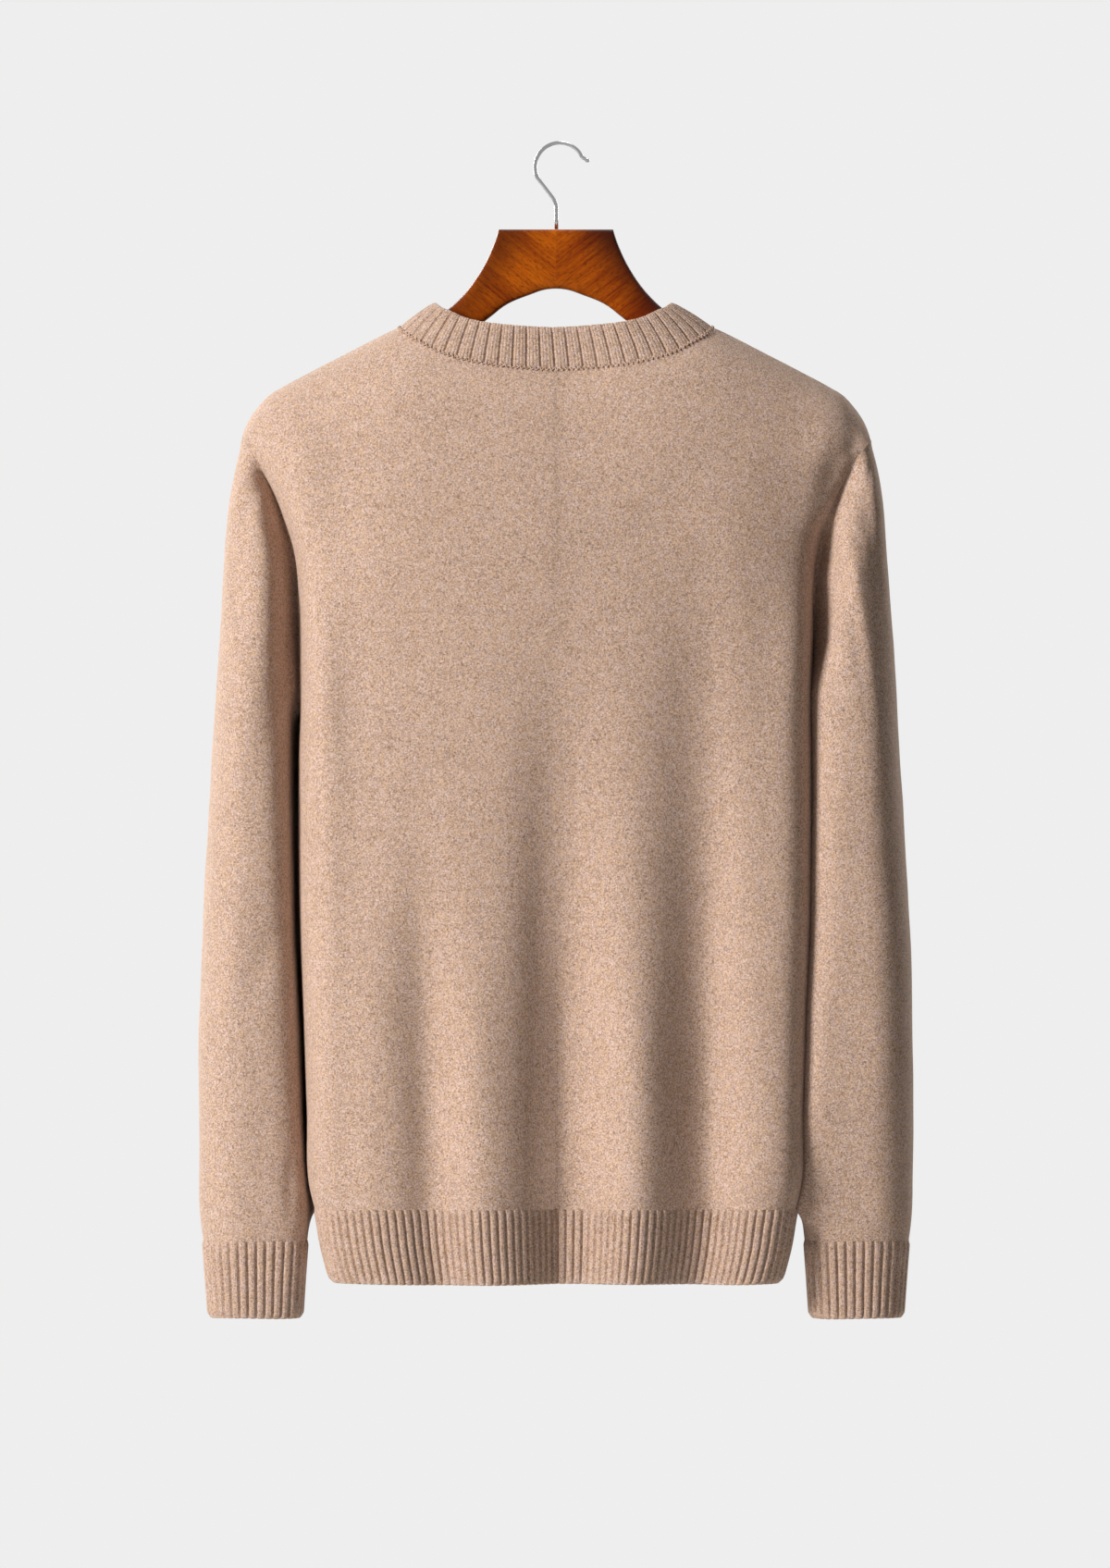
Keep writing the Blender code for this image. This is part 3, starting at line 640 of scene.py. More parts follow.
# Creases on a sleeve, from one share of the way round (0 is the body's side, 0.25 the back, 0.5 the
# outer side) and height to another.
PUCKERS = table(
    "side round0 z0 round1 z1 sunk width",
    ("left", 0.45, -0.222, 0.40, -0.250, 0.0010, 0.0030),
    ("left", 0.22, -0.400, 0.34, -0.560, 0.0008, 0.014),
    ("left", 0.16, -0.560, 0.30, -0.640, 0.0018, 0.012),
    ("left", 0.30, -0.735, 0.20, -0.785, 0.0012, 0.007),
    ("left", 0.12, -0.720, 0.16, -0.786, 0.0014, 0.007),
    ("left", 0.70, -0.480, 0.84, -0.600, 0.0022, 0.014),
    ("left", 0.62, -0.730, 0.70, -0.786, 0.0012, 0.008),
    ("right", 0.46, -0.222, 0.40, -0.256, 0.0010, 0.0032),
    ("right", 0.32, -0.450, 0.20, -0.610, 0.0003, 0.016),
    ("right", 0.18, -0.600, 0.28, -0.680, 0.0014, 0.012),
    ("right", 0.22, -0.735, 0.30, -0.786, 0.0012, 0.007),
    ("right", 0.80, -0.500, 0.68, -0.610, 0.0022, 0.014),
    ("right", 0.66, -0.730, 0.60, -0.786, 0.0012, 0.008),
)
PUCKER_ENDS = (0.3, 0.5)
PLAIN_BELOW_SEAM, PLAIN_ABOVE_CUFF = 0.02, 0.01  # where the creases and waves fade out
SLEEVE_SWELLS_FROM = {"left": 3.1, "right": 11.7}


def armhole_ring(back, front):
    """What the panels have along the right armhole, once round from the underarm by way of the back."""
    return np.concatenate([back[BODY_ROWS:, -1], front[-2:BODY_ROWS:-1, 0]])


def sleeve_section(half_depth):
    """A sleeve's rounded section: how far across each point lies, from 0 at the body's side to 1, and
    its place front to back. The points run round by way of the back."""
    around = np.arange(2 * ARMHOLE_ROWS) * np.pi / ARMHOLE_ROWS
    reach = (1 - rounded(np.cos(around), SLEEVE_SQUARENESS)) / 2
    squareness = np.where(reach < 0.5, INNER_SQUARENESS, SLEEVE_SQUARENESS)
    depth = -np.sign(np.sin(around)) * half_depth * squared(2 * reach - 1, squareness)
    depth[[0, ARMHOLE_ROWS]] = 0
    return reach, depth


def hung(grid, reach, side):
    """A sleeve's rings as they hang: a little off the middle plane, against the body and hollow
    beside it."""
    x, y, z = np.moveaxis(grid, -1, 0)
    up = lengths(grid, 0)
    seam = up[-1:] - up
    forward = SLEEVE_FORWARD[side] * eased(seam / FORWARD_BELOW_SEAM)
    y = y + forward * eased((z - CUFF_TOP) / FORWARD_ABOVE_CUFF)
    hollow = row_at(HOLLOW, z)
    sunk = getattr(hollow, side) * np.exp(-(((x - hollow.x) / hollow.width) ** 2))
    sunk = np.sign(y) * sunk * eased(seam / HOLLOW_BELOW_SEAM)
    y = y - sunk * eased((np.abs(y) - HOLLOW_FROM_Y) / HOLLOW_RISE_Y)
    body = row_at(BODY, z)
    wall = body.full_half * squared(y / body.depth, CHEST_SQUARENESS) + TUCK_CLEAR
    pull = eased((TUCK_TOP - z) / TUCK_TOP_FADE) * eased((z - TUCK_END) / TUCK_END_FADE)
    pull = pull * eased((TUCK_REACH - reach) / TUCK_REACH_FADE)
    pull = pull * np.exp(-(((y - TUCK_Y[side]) / TUCK_WIDTH) ** 2))
    x = x + pull * np.minimum(wall - x, 0)
    x = np.where(z < UNDERARM_Z - CLOTH / 2, np.maximum(x, wall), x)
    return points(x, y, z)


def closed(loop):
    return np.vstack([loop, loop[:1]])


def girths(rings):
    """The length along each ring up to each of its points, and last once round."""
    return lengths(np.concatenate([rings, rings[:, :1]], axis=1), 1)


def creased(grid, side):
    """A sleeve's rings with their creases and soft waves, which fade out at both ends."""
    around = np.arange(2 * ARMHOLE_ROWS) / (2 * ARMHOLE_ROWS)
    size = girths(grid)[:, -1:]
    sunk = swells(grid, SLEEVE_SWELLS_FROM[side])
    for pucker in (pucker for pucker in PUCKERS if pucker.side == side):
        run, drop = (pucker.round1 - pucker.round0) * size, pucker.z1 - pucker.z0
        x, z = (around - pucker.round0) * size, grid[..., 2] - pucker.z0
        sunk += crease_depth(x, z, run, drop, pucker, PUCKER_ENDS)
    up = lengths(grid, 0)
    sunk = sunk * eased((up[-1:] - up) / PLAIN_BELOW_SEAM) * eased(up / PLAIN_ABOVE_CUFF)
    return grid - sunk[..., None] * normals_of(grid, ring=True)


def sleeve(back, front, side):
    """Outer points of the right sleeve in rings from its cuff up to the armhole, and the outward
    directions there. The last ring leans halfway between the sleeve and the panels."""
    loop = armhole_ring(back[0], front[0])
    loop[[0, ARMHOLE_ROWS], 1] = 0
    line = loop[:, [0, 2]]
    rings = []
    for height in np.arange(CUFF_TOP, SLEEVE_TOP_Z - SLEEVE_STEP / 2, SLEEVE_STEP):
        row = row_at(SLEEVE, height)
        reach, section = sleeve_section(row.depth)
        chord = line[0] + reach[:, None] * (line[ARMHOLE_ROWS] - line[0])
        inner, outer = np.array([row.inner_x, row.inner_z]), np.array([row.outer_x, row.outer_z])
        place = inner + reach[:, None] * (outer - inner) + row.seam_shape * (line - chord)
        depth = row.seam_shape * loop[:, 1] + (1 - row.seam_shape) * section
        rings.append(points(place[:, 0], depth, place[:, 1]))
    outer = creased(hung(np.stack([*rings, loop]), reach, side), side)
    away = unit(outer[-2] - loop)
    outer[-1] = loop + ARMHOLE_GAP * away
    out = normals_of(outer, ring=True)
    into = unit(armhole_ring(back[0][:, :-1], front[0][:, 1:]) - loop)
    between = out[-1] + armhole_ring(back[1], front[1]) + into + away
    between[[0, ARMHOLE_ROWS], 1] = 0
    # The crease turns down at the underarm.
    low = np.clip(1 - (loop[:, 2] - UNDERARM_Z) / CROTCH_HEIGHT, 0, 1)[:, None]
    between = unit(unit(between) * (1 - low * CROTCH_TURN) + low * (0, 0, -1))
    least = MITRE_LEAST + (1 - MITRE_LEAST) * low
    mitre = np.clip((between * out[-1]).sum(axis=-1, keepdims=True), least, 1)
    out[-1] = between / mitre
    up = lengths(outer, 0)
    filled = SEAM_FILL * np.exp(-(((up[-1:] - up) / SEAM_ROUND) ** 2))
    return outer, out, outer + filled[..., None] * out


def mirrored(grid):
    """The same points on the other side, with their columns still running round the same way."""
    return (grid * (-1, 1, 1))[:, ::-1]


# Both sleeves are shaped on the right, the left one between mirrored panels, and then turned over.
TURNS = {"right": lambda grid: grid, "left": mirrored}
sleeves = {
    side: sleeve(*([turn(grid) for grid in face] for face in (back, front)), side)
    for side, turn in TURNS.items()
}
for side, turn in TURNS.items():
    outer, out, skin = sleeves[side]
    edge, sign = {"right": (-1, 1), "left": (0, -1)}[side]
    crease = closed(out[-1]) * (sign, 1, 1)
    back[1][BODY_ROWS:, edge] = crease[: ARMHOLE_ROWS + 1]
    front[1][BODY_ROWS:, -1 - edge] = crease[: ARMHOLE_ROWS - 1 : -1]
    inner = outer - CLOTH * out
    wales = girths(outer).mean(axis=0)
    piece = knit_wall(f"sleeve_{side}_jersey", turn(skin), turn(inner), wales, True, jersey)
    sewn(piece, f"sleeve_{side}", "jersey", SLEEVE_CUT, ["hanger_" + side])

for face, (outer, out) in (("back", back), ("front", front)):
    wales = lengths(outer, 1)
    wales = (wales - wales[:, [wales.shape[1] // 2]]).mean(axis=0)
    skin = panel_skin(outer, out)
    skin[0] = outer[0]
    piece = knit_wall(f"{face}_jersey", skin, outer - CLOTH * out, wales, False, jersey)
    sewn(piece, f"{face}_panel", "jersey", PANEL_CUT, ["hanger_left", "hanger_right"])

# Hem ribs: a band of 2-by-1 rib knitted on below each panel. It pulls the body in, and each rib
# stands up as a plump cord beside a narrow groove.
HEM_RIBS = 160
HEM_ROWS = 18
HEM_CORNER, HEM_TUCK = 0.008, 0.75
HEM_CUT = Cut((0.46, 0.056), 0.0255)
# One rib: its width, the points across it, how far its crest stands up and its groove sinks, the
# groove's share of its width, and within what length of the seam it begins.
Rib = namedtuple("Rib", "width points rise groove groove_share start")
FINE_RIB = Rib(0.0060, 8, 0.0011, 0.0011, 0.24, 0.0022)
RIB_COURSE = 0.00135
RIB_CREST = 0.16  # how much rounder than flat a rib's crest is
RIB_RAGGED = 0.0012
RIM_SHARE, RIM_SPAN = 0.35, 0.004  # how much of a rib is left at the band's rim, and from where
RIM_WAVE = 0.0003


def ribs_on(grid, out, ribs, rib):
    """Raises ribs on the rows of a band. They begin unevenly at the band's seam, its last row."""
    share = np.arange(rib.points) / rib.points
    profile = eased(np.minimum(share, 1 - share) / rib.groove_share)
    profile = profile * (1 - RIB_CREST + RIB_CREST * np.sin(np.pi * share))
    profile = np.append(np.tile(profile, ribs), 0)[: grid.shape[1]]
    which = np.arange(grid.shape[1]) // rib.points
    ragged = RIB_RAGGED * np.sin(which * 2.3) * np.sin(which * 0.7 + 1)
    up = lengths(grid, 0)
    begun = eased((up[-1:] - up - ragged) / rib.start)
    begun = begun * (RIM_SHARE + (1 - RIM_SHARE) * eased(up / RIM_SPAN))
    raised = (rib.rise * profile - rib.groove * (1 - profile)) * begun
    return grid + raised[..., None] * out


def curled(height, corner, tuck):
    """How far a band's rim curls in at a height above its edge."""
    near = np.clip(1 - height / corner, 0, 1)
    return corner * tuck * (1 - np.sqrt(1 - near**2))


def hem_band(edge):
    """Outer and inner points of one half of the hem's rib below a panel's bottom edge."""
    count = HEM_RIBS // 2 * FINE_RIB.points
    line = spread(edge, np.arange(count + 1) / count)
    top = row_at(BODY, HEM_TOP)
    rows = []
    for z in np.linspace(HEM_BOTTOM + CLOTH / 2, HEM_TOP, HEM_ROWS):
        body = row_at(BODY, z)
        row = line * (body.full_half / top.full_half, body.depth / top.depth, 0)
        pulled = curled(z - HEM_BOTTOM, HEM_CORNER, HEM_TUCK) * np.sign(row[:, 0])
        row[:, 0] -= pulled * np.abs(row[:, 0] / top.full_half) ** 8
        row[[0, -1], 1] = line[[0, -1], 1]
        wave = RIM_WAVE * np.sin(line[:, 0] * 31 + 0.6)
        row[:, 2] = z + wave * (HEM_TOP - z) / (HEM_TOP - HEM_BOTTOM)
        rows.append(row)
    grid = np.stack(rows)
    out = normals_of(grid, ring=False)
    out[:, [0, -1]] = level(out[:, [0, -1]])
    return ribs_on(grid, out, HEM_RIBS // 2, FINE_RIB), grid - CLOTH * out


rib_knit = heather("ribbed knit", FINE_RIB.width / 3, RIB_COURSE, 0.00016, shade=0.96)
for face, panel_points in (("back", back), ("front", front)):
    outer, inner = hem_band(panel_points[0][0])
    wales = np.arange(outer.shape[1]) * FINE_RIB.width / FINE_RIB.points
    piece = knit_wall(f"hem_{face}_ribbing", outer, inner, wales, False, rib_knit, rims=("bottom",))
    sewn(piece, f"hem_rib_{face}", "rib", HEM_CUT, [f"{face}_jersey"])

# Cuffs: tubes of the same rib and yarn, knitted on below each sleeve. Each is narrower than its
# sleeve, which draws in above it.
CUFF_RIBS = 36
CUFF_BOTTOM = -0.8450
CUFF_ROWS = 18
CUFF_CORNER, CUFF_TUCK = 0.005, 0.6
CUFF_BEND = {"left": 0.0012, "right": -0.0010}
CUFF_CUT = Cut((0.210, 0.058), 0.0119)
CUFF = table(
    "z outer_x inner_x depth",
    (CUFF_BOTTOM, 0.2500, 0.1830, 0.0298),
    (-0.8170, 0.2520, 0.1812, 0.0315),
    (CUFF_TOP, 0.2542, 0.1792, 0.0345),
)


def cuff_band(side):
    """Outer and inner points of the right cuff, from its rim up to the sleeve."""
    count = CUFF_RIBS * FINE_RIB.points
    shares = np.arange(count) / count
    rows = []
    for z in np.linspace(CUFF_BOTTOM + CLOTH / 2, CUFF_TOP, CUFF_ROWS):
        row = row_at(CUFF, z)
        reach, depth = sleeve_section(row.depth)
        pulled = curled(z - CUFF_BOTTOM, CUFF_CORNER, CUFF_TUCK)
        x = row.inner_x + pulled + reach * (row.outer_x - row.inner_x - 2 * pulled)
        line = spread(closed(points(x, depth, x * 0 + z)), shares)
        wave = RIM_WAVE * np.sin(line[:, 0] * 90)
        line[:, 2] += wave * (CUFF_TOP - z) / (CUFF_TOP - CUFF_BOTTOM)
        rows.append(line + (0, CUFF_BEND[side] * np.sin((z - CUFF_TOP) * 60), 0))
    grid = np.stack(rows)
    out = normals_of(grid, ring=True)
    return ribs_on(grid, out, CUFF_RIBS, FINE_RIB), grid - CLOTH * out


for side, turn in TURNS.items():
    outer, inner = (turn(grid) for grid in cuff_band(side))
    wales = np.arange(outer.shape[1] + 1) * FINE_RIB.width / FINE_RIB.points
    piece = knit_wall(f"cuff_{side}_ribbing", outer, inner, wales, True, rib_knit, rims=("bottom",))
    sewn(piece, f"cuff_{side}", "rib", CUFF_CUT, [f"sleeve_{side}_jersey"])

# Neckband: a strip of wider rib, linked onto the neckline through every loop, so that one yarn shows
# along its foot, going to and fro over the seam in small slanting stitches.
NECK_RIBS, NECK_ROWS = 66, 18
NECK_RIB = Rib(0.0088, 14, 0.0007, 0.0010, 0.13, 0.0020)
COLLAR_TOP_X, COLLAR_SHIFT = 0.0846, -0.0020
COLLAR_RISE_MIDDLE, COLLAR_RISE_SIDE = 0.0314, 0.0200
COLLAR_DROOP = 0.0008
COLLAR_LEAN = 0.83
COLLAR_BULGE = 0.06
RIB_LEAN = 0.0143
COLLAR_GAP, COLLAR_HEIGHT = 0.00006, 0.033
NECK_CUT = Cut((0.56, 0.042), 0.0215)
LINK_PITCH, LINK_REACH, LINK_LIFT, LINK_YARN = 0.0036, 0.0014, 0.0014, 0.00045


def neck_band(back, front):
    """Outer and inner points of the neckband, from its seam up to its rim, and the directions out of
    its seam and down from it."""
    behind = slice(SHOULDER_COLUMNS, -SHOULDER_COLUMNS)
    before = slice(SHOULDER_COLUMNS + 1, -SHOULDER_COLUMNS - 1)
    seam, lean = (np.concatenate([back[i][-1, behind], front[i][-1, before]]) for i in (0, 1))
    below = np.concatenate([back[0][-2, behind], front[0][-2, before]]) - seam
    seam[[0, NECK_COLUMNS], 1] = 0
    across = np.abs(seam[:, :1]) / NECK_SIDE_X
    rise = COLLAR_RISE_MIDDLE - (COLLAR_RISE_MIDDLE - COLLAR_RISE_SIDE) * across**2.5
    rise -= COLLAR_DROOP * across**20
    rim_line = seam * (COLLAR_TOP_X / NECK_SIDE_X, COLLAR_LEAN, 1) + rise * (0, 0, 1)
    rim_line += (COLLAR_SHIFT, 0, 0)
    count = NECK_RIBS * NECK_RIB.points
    shares = np.arange(count) / count
    # The ribs lean in less at the middle of the back and front than at the sides.
    steps = girths(seam[None])[0]
    leaning = shares + RIB_LEAN * np.sin(4 * np.pi * (shares - steps[NECK_COLUMNS] / steps[-1] / 2))
    foot, lean, below = (spread(closed(seam), shares, closed(line)) for line in (seam, lean, below))
    top = spread(closed(seam), leaning % 1, closed(rim_line))
    rows = []
    for up in np.linspace(COLLAR_GAP / COLLAR_HEIGHT, 1 - CLOTH / 2 / COLLAR_HEIGHT, NECK_ROWS):
        bulge = 4 * up * (1 - up) * COLLAR_BULGE
        rows.append(foot + up * (top - foot) + bulge * (foot - top) * (1, 1, 0))
    grid = np.stack(rows)
    out = normals_of(grid, ring=True)
    out[0] = lean
    outer = ribs_on(grid[::-1], out[::-1], NECK_RIBS, NECK_RIB)[::-1]
    return outer, grid - CLOTH * out, lean, below


def round_solid(name, rings, material):
    """A closed solid whose skin runs over these rings of points, with a flat cap at each end."""
    number = np.arange(rings[..., 0].size).reshape(rings.shape[:2])
    wrapped = np.hstack([number, number[:, :1]])
    quads = np.stack([wrapped[:-1, :-1], wrapped[:-1, 1:], wrapped[1:, 1:], wrapped[1:, :-1]], axis=2)
    faces = quads.reshape(-1, 4).tolist() + [number[0][::-1].tolist(), number[-1].tolist()]
    return modelled(name, rings, faces, material)


def tube(name, path, radii, sides, material):
    """A closed round tube along a line of points."""
    along = unit(np.gradient(path, axis=0))
    aside = unit(np.cross(along, (0.123, 0.97, 0.21)))
    other = np.cross(along, aside)
    turns = np.arange(sides) * 2 * np.pi / sides
    rings = [path + radii[:, None] * (np.cos(turn) * aside + np.sin(turn) * other) for turn in turns]
    return round_solid(name, np.stack(rings, axis=1), material)


def linking(name, seam, above, below, out, material):
    """One yarn that goes to and fro over a closed seam."""
    stitches = int(girths(seam[None])[0, -1] / LINK_PITCH)
    shares = np.linspace(0, 1, stitches * 4, endpoint=False)
    middle, *aims = (spread(closed(seam), shares, closed(line)) for line in (seam, above, below, out))
    above, below, out = map(unit, aims)
    swing = np.tile([1.0, 0.0, -1.0, 0.0], stitches)[:, None]
    reach = LINK_REACH * (np.maximum(swing, 0) * above + np.maximum(-swing, 0) * below)
    path = middle + reach + LINK_LIFT * out
    return tube(name, path, np.full(len(path), LINK_YARN), 6, material)


neck_rib = heather("neckband knit", NECK_RIB.width / 2, RIB_COURSE, 0.00045, shade=0.94)
outer, inner, out, below = neck_band(back, front)
wales = np.arange(outer.shape[1] + 1) * NECK_RIB.width / NECK_RIB.points
neckband = knit_wall("neckband_ribbing", outer, inner, wales, True, neck_rib, rims=("top",))
link_yarn = heather("linking yarn", WALE, COURSE, STITCH_HEIGHT, shade=1.1)
neck_links = linking("neckband_linking", outer[0], outer[3] - outer[0], below, out, link_yarn)
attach(neck_links, "root")
panels = ["back_jersey", "front_jersey"]
sewn(neckband, "neckband", "rib", NECK_CUT, panels, with_pieces=[neck_links])

# Hanger: two shaped hardwood halves, glued along the middle, stained reddish brown and lacquered.
# Their arms follow the shoulder line inside the sweater.
WOOD_TOP = -0.0610
FLAT_TOP_END = 0.0412
BOARD_CORNERS = 44
BOARD_SQUARENESS, ARM_SQUARENESS = 4.8, 2.6
ROUNDER_FROM, ROUNDER_OVER = 0.045, 0.03
ARM_CLEARANCE = 0.0012
CLOTH_DROP = CLOTH * 1.12  # the cloth's thickness straight down, on the shoulder's slope
EDGE_ANGLE = np.radians(50)
# Where the board's sections stand: closest at the step beside its flat top, and at the arm's end.
SECTIONS = ((0.0, 0.0411, 14), (0.0413, 0.0545, 18), (0.056, 0.209, 60))
END_SECTIONS = (0.2105, 0.2116, 0.2122, 0.2125)
Board = namedtuple("Board", "x top bottom half_thick")
BOARD = [
    Board(0.0000, WOOD_TOP, -0.1035, 0.0070),
    Board(0.0040, WOOD_TOP, -0.1037, 0.0070),
    Board(0.0090, WOOD_TOP, -0.1045, 0.0070),
    Board(0.0180, WOOD_TOP, -0.1076, 0.0070),
    Board(FLAT_TOP_END, WOOD_TOP, -0.1189, 0.0072),
    Board(0.0432, -0.0672, -0.1206, 0.0073),
    Board(0.0487, -0.0808, -0.1250, 0.0075),
    Board(0.0545, -0.0915, -0.1295, 0.0078),
    Board(0.0617, -0.1021, -0.1352, 0.0082),
    Board(0.0713, -0.1128, -0.1430, 0.0087),
    Board(0.0860, -0.1248, -0.1530, 0.0094),
    Board(0.1010, -0.1345, -0.1620, 0.0100),
    Board(0.1160, -0.1400, -0.1700, 0.0106),
]
ARM = table(
    "x height half_thick lowered",
    (0.1350, 0.0330, 0.0114, 0.0),
    (0.1600, 0.0300, 0.0122, 0.0),
    (0.1850, 0.0260, 0.0126, 0.0003),
    (0.2000, 0.0200, 0.0118, 0.0012),
    (0.2090, 0.0120, 0.0090, 0.0030),
    (0.2125, 0.0060, 0.0050, 0.0050),
)
GRAIN_SLOPE = np.radians(-38)
# How light each half's wood is: its own tone, with painted shade making the right half, away from the
# light, darker.
WOOD_TONE_AND_PAINTED_SHADE = {"left": -0.62, "right": -0.86}
# How far painted shade turns the upper outer part of each half towards umber, more on the right.
PAINTED_CORNER_SHADE = {"left": 0.75, "right": 1.0}
AMBER = (0.600, 0.140, 0.005, 1)
RUSSET = (0.200, 0.026, 0.002, 1)
UMBER = (0.035, 0.006, 0.002, 1)


def stained_wood_with_painted_shade(side):
    """Lacquered hardwood, grain from the hook down along one arm, with painted shade on its upper outer
    part.
    """
    lacquer = {"Specular_IOR_Level": 0.1, "Coat_Weight": 0.08, "Coat_Roughness": 0.2}
    made, shader, field = finish(f"lacquered wood {side}", Roughness=0.45, **lacquer)
    slope = {"left": GRAIN_SLOPE, "right": -GRAIN_SLOPE}[side]
    place = field.place()
    turning = {"Vector": place, "Angle": slope}
    turned = field.node("ShaderNodeVectorRotate", {"rotation_type": "Y_AXIS"}, turning)
    figure = turned.stretched((26, 90, 460)).speckle(1.0, 5.0, 0.62)
    pores = turned.stretched((260, 700, 1150)).speckle(1.0, 2.0, 0.6)
    bands = turned.stretched((5, 25, 36)).speckle(1.0, 2.0)
    aside, height = field.maths("ABSOLUTE", place.part(0)), place.part(2)
    # The grain and the wood's tone, lighter near the glued middle, with painted shade darkening the
    # right half.
    grain_tone_and_shade = figure * 1.4 + bands * 1.2 + WOOD_TONE_AND_PAINTED_SHADE[side] - aside.between(0.0, 0.05) * 0.30
    colour = grain_tone_and_shade.clipped().tint(RUSSET, AMBER)
    # Painted shade: the upper outer part of each half darkens towards umber.
    corner = (aside + height * 0.8 + 0.080).between(0.028, 0.072)
    colour = (corner * PAINTED_CORNER_SHADE[side]).clipped().tint(colour, UMBER)
    colour = (pores.between(0.49, 0.66) * 0.45).tint(colour, UMBER)
    surface = pores * 0.00006 + figure * 0.00008
    feed(shader, Base_Color=colour, Normal=surface.relief(0.5))
    return made


def hanger_half(name, sign, material):
    """A shaped board with rounded edges whose arm narrows and rounds off at its end."""
    rows = list(BOARD)
    for arm in ARM:
        top = through(SHOULDER, "z", arm.x) - CLOTH_DROP - ARM_CLEARANCE - arm.lowered
        rows.append(Board(arm.x, top, top - arm.height, arm.half_thick))
    angle = (np.arange(BOARD_CORNERS) + 0.5) * 2 * np.pi / BOARD_CORNERS
    sections = []
    for x in np.concatenate([*(np.linspace(*run) for run in SECTIONS), END_SECTIONS]):
        top = WOOD_TOP if x < FLAT_TOP_END else through(rows[4:], "top", x)
        bottom, thick = through(rows, "bottom", x), through(rows, "half_thick", x)
        rounder = eased((x - ROUNDER_FROM) / ROUNDER_OVER)
        squareness = BOARD_SQUARENESS + (ARM_SQUARENESS - BOARD_SQUARENESS) * rounder
        up, out = (rounded(turned, squareness) for turned in (np.sin(angle), np.cos(angle)))
        z = (top + bottom) / 2 + up / np.abs(up).max() * (top - bottom) / 2
        y = sign * out / np.abs(out).max() * thick
        sections.append(points(np.full(BOARD_CORNERS, sign * x), y, z))
    made = round_solid(name, np.stack(sections), material)
    made.data.set_sharp_from_angle(angle=EDGE_ANGLE)
    return made


for side, sign in (("left", -1), ("right", 1)):
    board = hanger_half(f"hanger_{side}_board", sign, stained_wood_with_painted_shade(side))
    fitted(board, f"hanger_{side}")

# Hook: one bent, bright-plated steel wire with a small ball at its tip. Its foot stands on the flat
# top of the wood.
HOOK_WIRE = 0.0027
HOOK_RADIUS = 0.0177
HOOK_CENTRE = (0.0027, -0.0161)
HOOK_START, HOOK_END = np.radians(207.0), np.radians(24.0)
HOOK_BALL = 0.0034
STEM_X, STEM_BEND_Z = 0.0003, -0.0415


def hook_line():
    """The wire's middle line from the wood up to the ball, and its radius along it."""
    cx, cz = HOOK_CENTRE
    angles = np.linspace(HOOK_START, HOOK_END, 60)
    arc = points(cx + HOOK_RADIUS * np.cos(angles), cz + HOOK_RADIUS * np.sin(angles))
    # A quadratic curve rounds the bend between the stem and the slanting part below the loop.
    bend = np.array([STEM_X, STEM_BEND_Z])
    low, high = bend - (0, 0.0035), bend + 0.22 * (arc[0] - bend)
    t = np.linspace(0, 1, 9)[:, None]
    corner = (1 - t) ** 2 * low + 2 * t * (1 - t) * bend + t**2 * high
    stem = np.array([[STEM_X, WOOD_TOP + 0.0003], [STEM_X, -0.052]])
    start = high + (arc[0] - high) * np.array([[0.4], [0.7]])
    tip = arc[-1] + np.array([[0.0012, -0.0006], [0.0020, -0.0011], [0.0024, -0.00135]])
    ball = tip[-1] + np.linspace(0, 1, 9)[1:, None] * (0.0028, -0.00165)
    line = np.vstack([stem, corner, start, arc, tip, ball])
    radii = np.full(len(line), HOOK_WIRE / 2)
    radii[-9:] = HOOK_BALL / 2 * np.sqrt(1 - np.linspace(-0.75, 0.98, 9) ** 2)
    return points(line[:, 0], np.zeros(len(line)), line[:, 1]), radii


chrome, shader, field = finish("plated steel", Metallic=1.0, Base_Color=(0.56, 0.56, 0.57, 1))
smear = field.place().speckle(240, 3.0)
feed(shader, Roughness=0.18 + smear * 0.08)
fitted(tube("hook_wire", *hook_line(), 20, chrome), "hanger_hook")

# Studio: a plain pale floor, one large soft light from the left with a weak card in its place that
# only the hook mirrors, a small light above and two weaker ones on the front's side, and a long lens
# level with the middle of the sweater.
FLOOR_Z = -1.60
LIT_MIDDLE = (0, 0, -0.45)
KEY_PLACE, KEY_SIZE = (-3.62, -3.02, 1.30), (1.4, 2.0)
WHITE, KEY_WHITE, FILL_WHITE = (1.0, 1.0, 1.0), (1.0, 0.985, 0.96), (1.0, 0.99, 0.97)
CAMERA_DISTANCE, FRAME_HEIGHT = 10.0, 1.13
FRAME_MIDDLE = (-0.0007, -0.4605)

bpy.ops.mesh.primitive_circle_add(vertices=96, radius=3.0, fill_type="NGON", location=(0, 0, FLOOR_Z))
floor = bpy.context.object
floor.name = "studio_floor"
painted, shader, field = finish("studio floor paint", Roughness=0.9)
patches = field.place().speckle(3.0, 2.0)
feed(shader, Base_Color=(patches * 0.2).tint((0.80, 0.80, 0.80, 1), (0.76, 0.76, 0.76, 1)))
floor.data.materials.append(painted)

world = bpy.data.worlds.new("studio air")
bpy.context.scene.world = world
world.use_nodes = True
air = Field(world.node_tree)


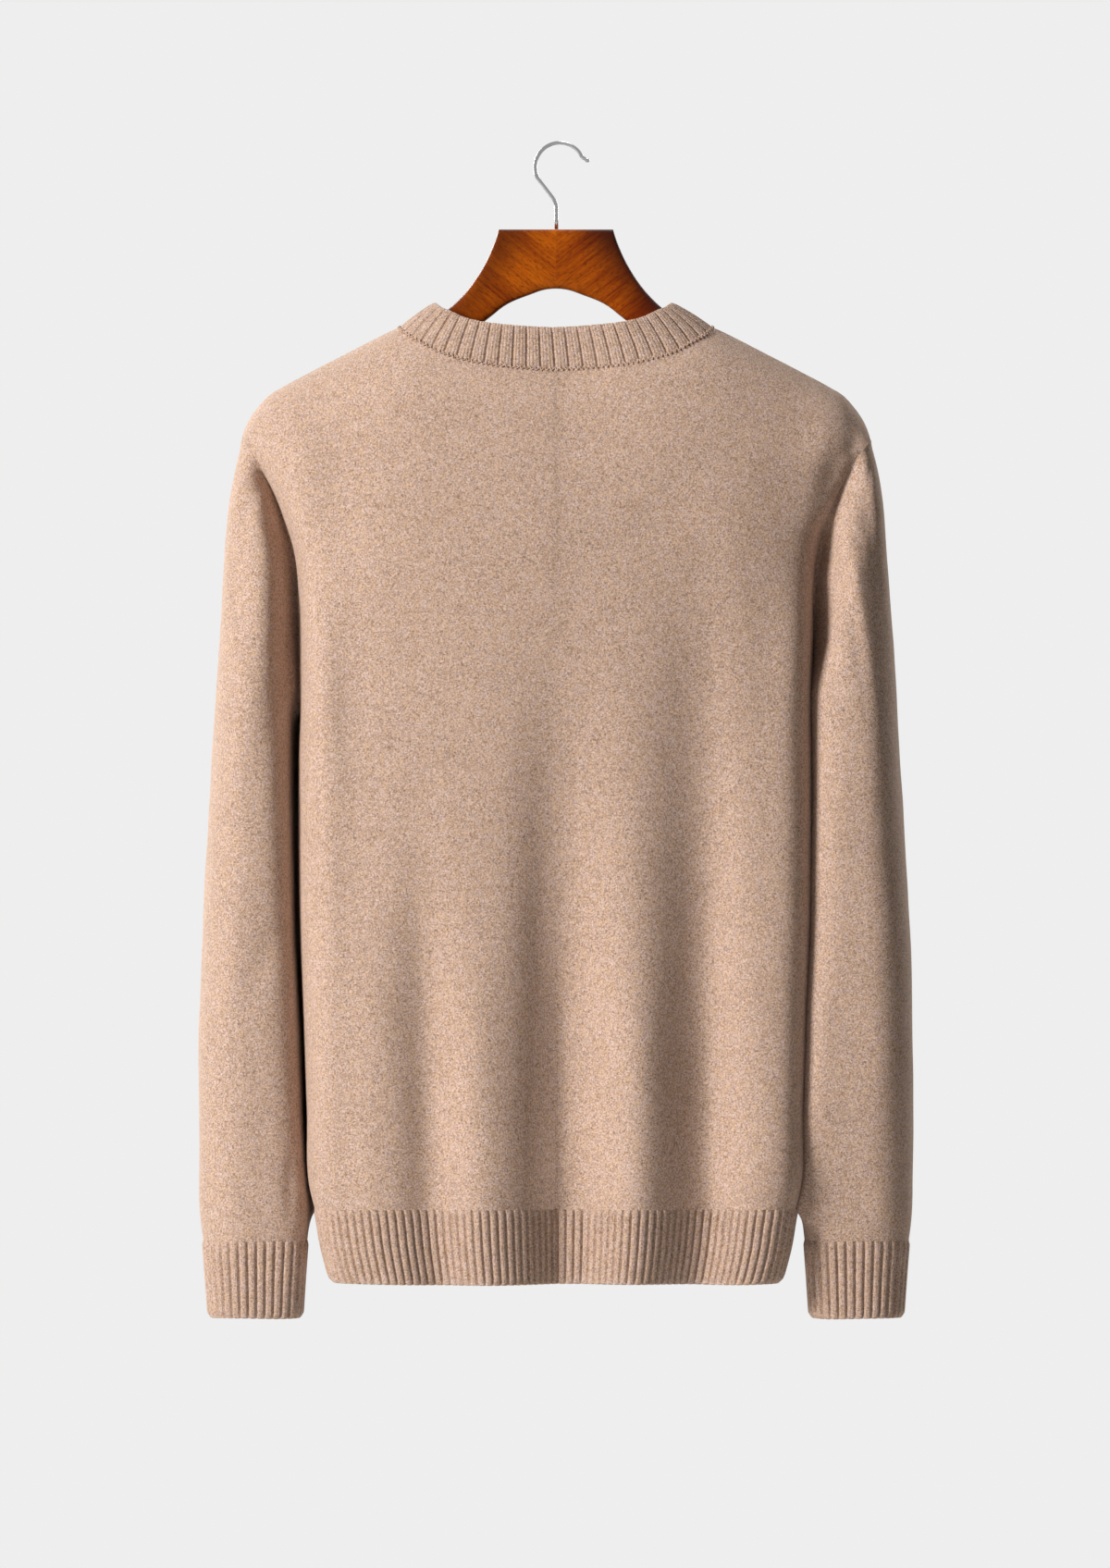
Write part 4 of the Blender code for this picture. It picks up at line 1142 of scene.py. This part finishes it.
def glow(colour, strength):
    return air.node("ShaderNodeBackground", None, {"Color": (*colour, 1), "Strength": strength})


def either(share, first, second):
    return air.node("ShaderNodeMixShader", None, {0: share, 1: first, 2: second})


# The pale backdrop that the camera sees, the warm bounced light, and the room that the hook mirrors.
seen = glow((0.855, 0.855, 0.855), 1)
bounced = glow((1.0, 0.88, 0.78), 0.035)
mirrored_room = glow(WHITE, 0.50)
camera_ray = air.node("ShaderNodeLightPath")
glossy_ray = Field(camera_ray.tree, camera_ray.socket.node.outputs["Is Glossy Ray"])
lit = either(camera_ray, either(glossy_ray, bounced, mirrored_room), seen)
world.node_tree.links.new(lit.socket, world.node_tree.nodes["World Output"].inputs[0])


def softbox(name, place, size, power, colour):
    """A large soft light, aimed at the sweater, that the camera doesn't see."""
    lamp = bpy.data.lights.new(name, "AREA")
    lamp.shape, (lamp.size, lamp.size_y) = "RECTANGLE", size
    lamp.energy, lamp.color = power, colour
    made = placed(name, lamp)
    made.location = place
    made.rotation_euler = (Vector(LIT_MIDDLE) - Vector(place)).to_track_quat("-Z", "Y").to_euler()
    made.visible_camera = False
    return made


softbox("key_light", KEY_PLACE, KEY_SIZE, 336, KEY_WHITE).visible_glossy = False
softbox("reflector_card", KEY_PLACE, KEY_SIZE, 8, WHITE).visible_diffuse = False
softbox("top_light", (0.5, 0.35, 2.2), (1.0, 1.0), 26, WHITE)
softbox("front_fill", (-1.8, 2.9, 0.5), (1.6, 1.6), 110, FILL_WHITE)
softbox("side_fill", (2.0, 3.0, 0.3), (1.4, 1.6), 45, FILL_WHITE)

lens = bpy.data.cameras.new("camera")
lens.lens = lens.sensor_width * CAMERA_DISTANCE / FRAME_HEIGHT
lens.clip_start, lens.clip_end = 1.0, 40.0
camera = placed("camera", lens)
camera.location = (FRAME_MIDDLE[0], -CAMERA_DISTANCE, FRAME_MIDDLE[1])
camera.rotation_euler = (np.pi / 2, 0, 0)
bpy.context.scene.camera = camera
bpy.context.scene.view_settings.view_transform = "Standard"
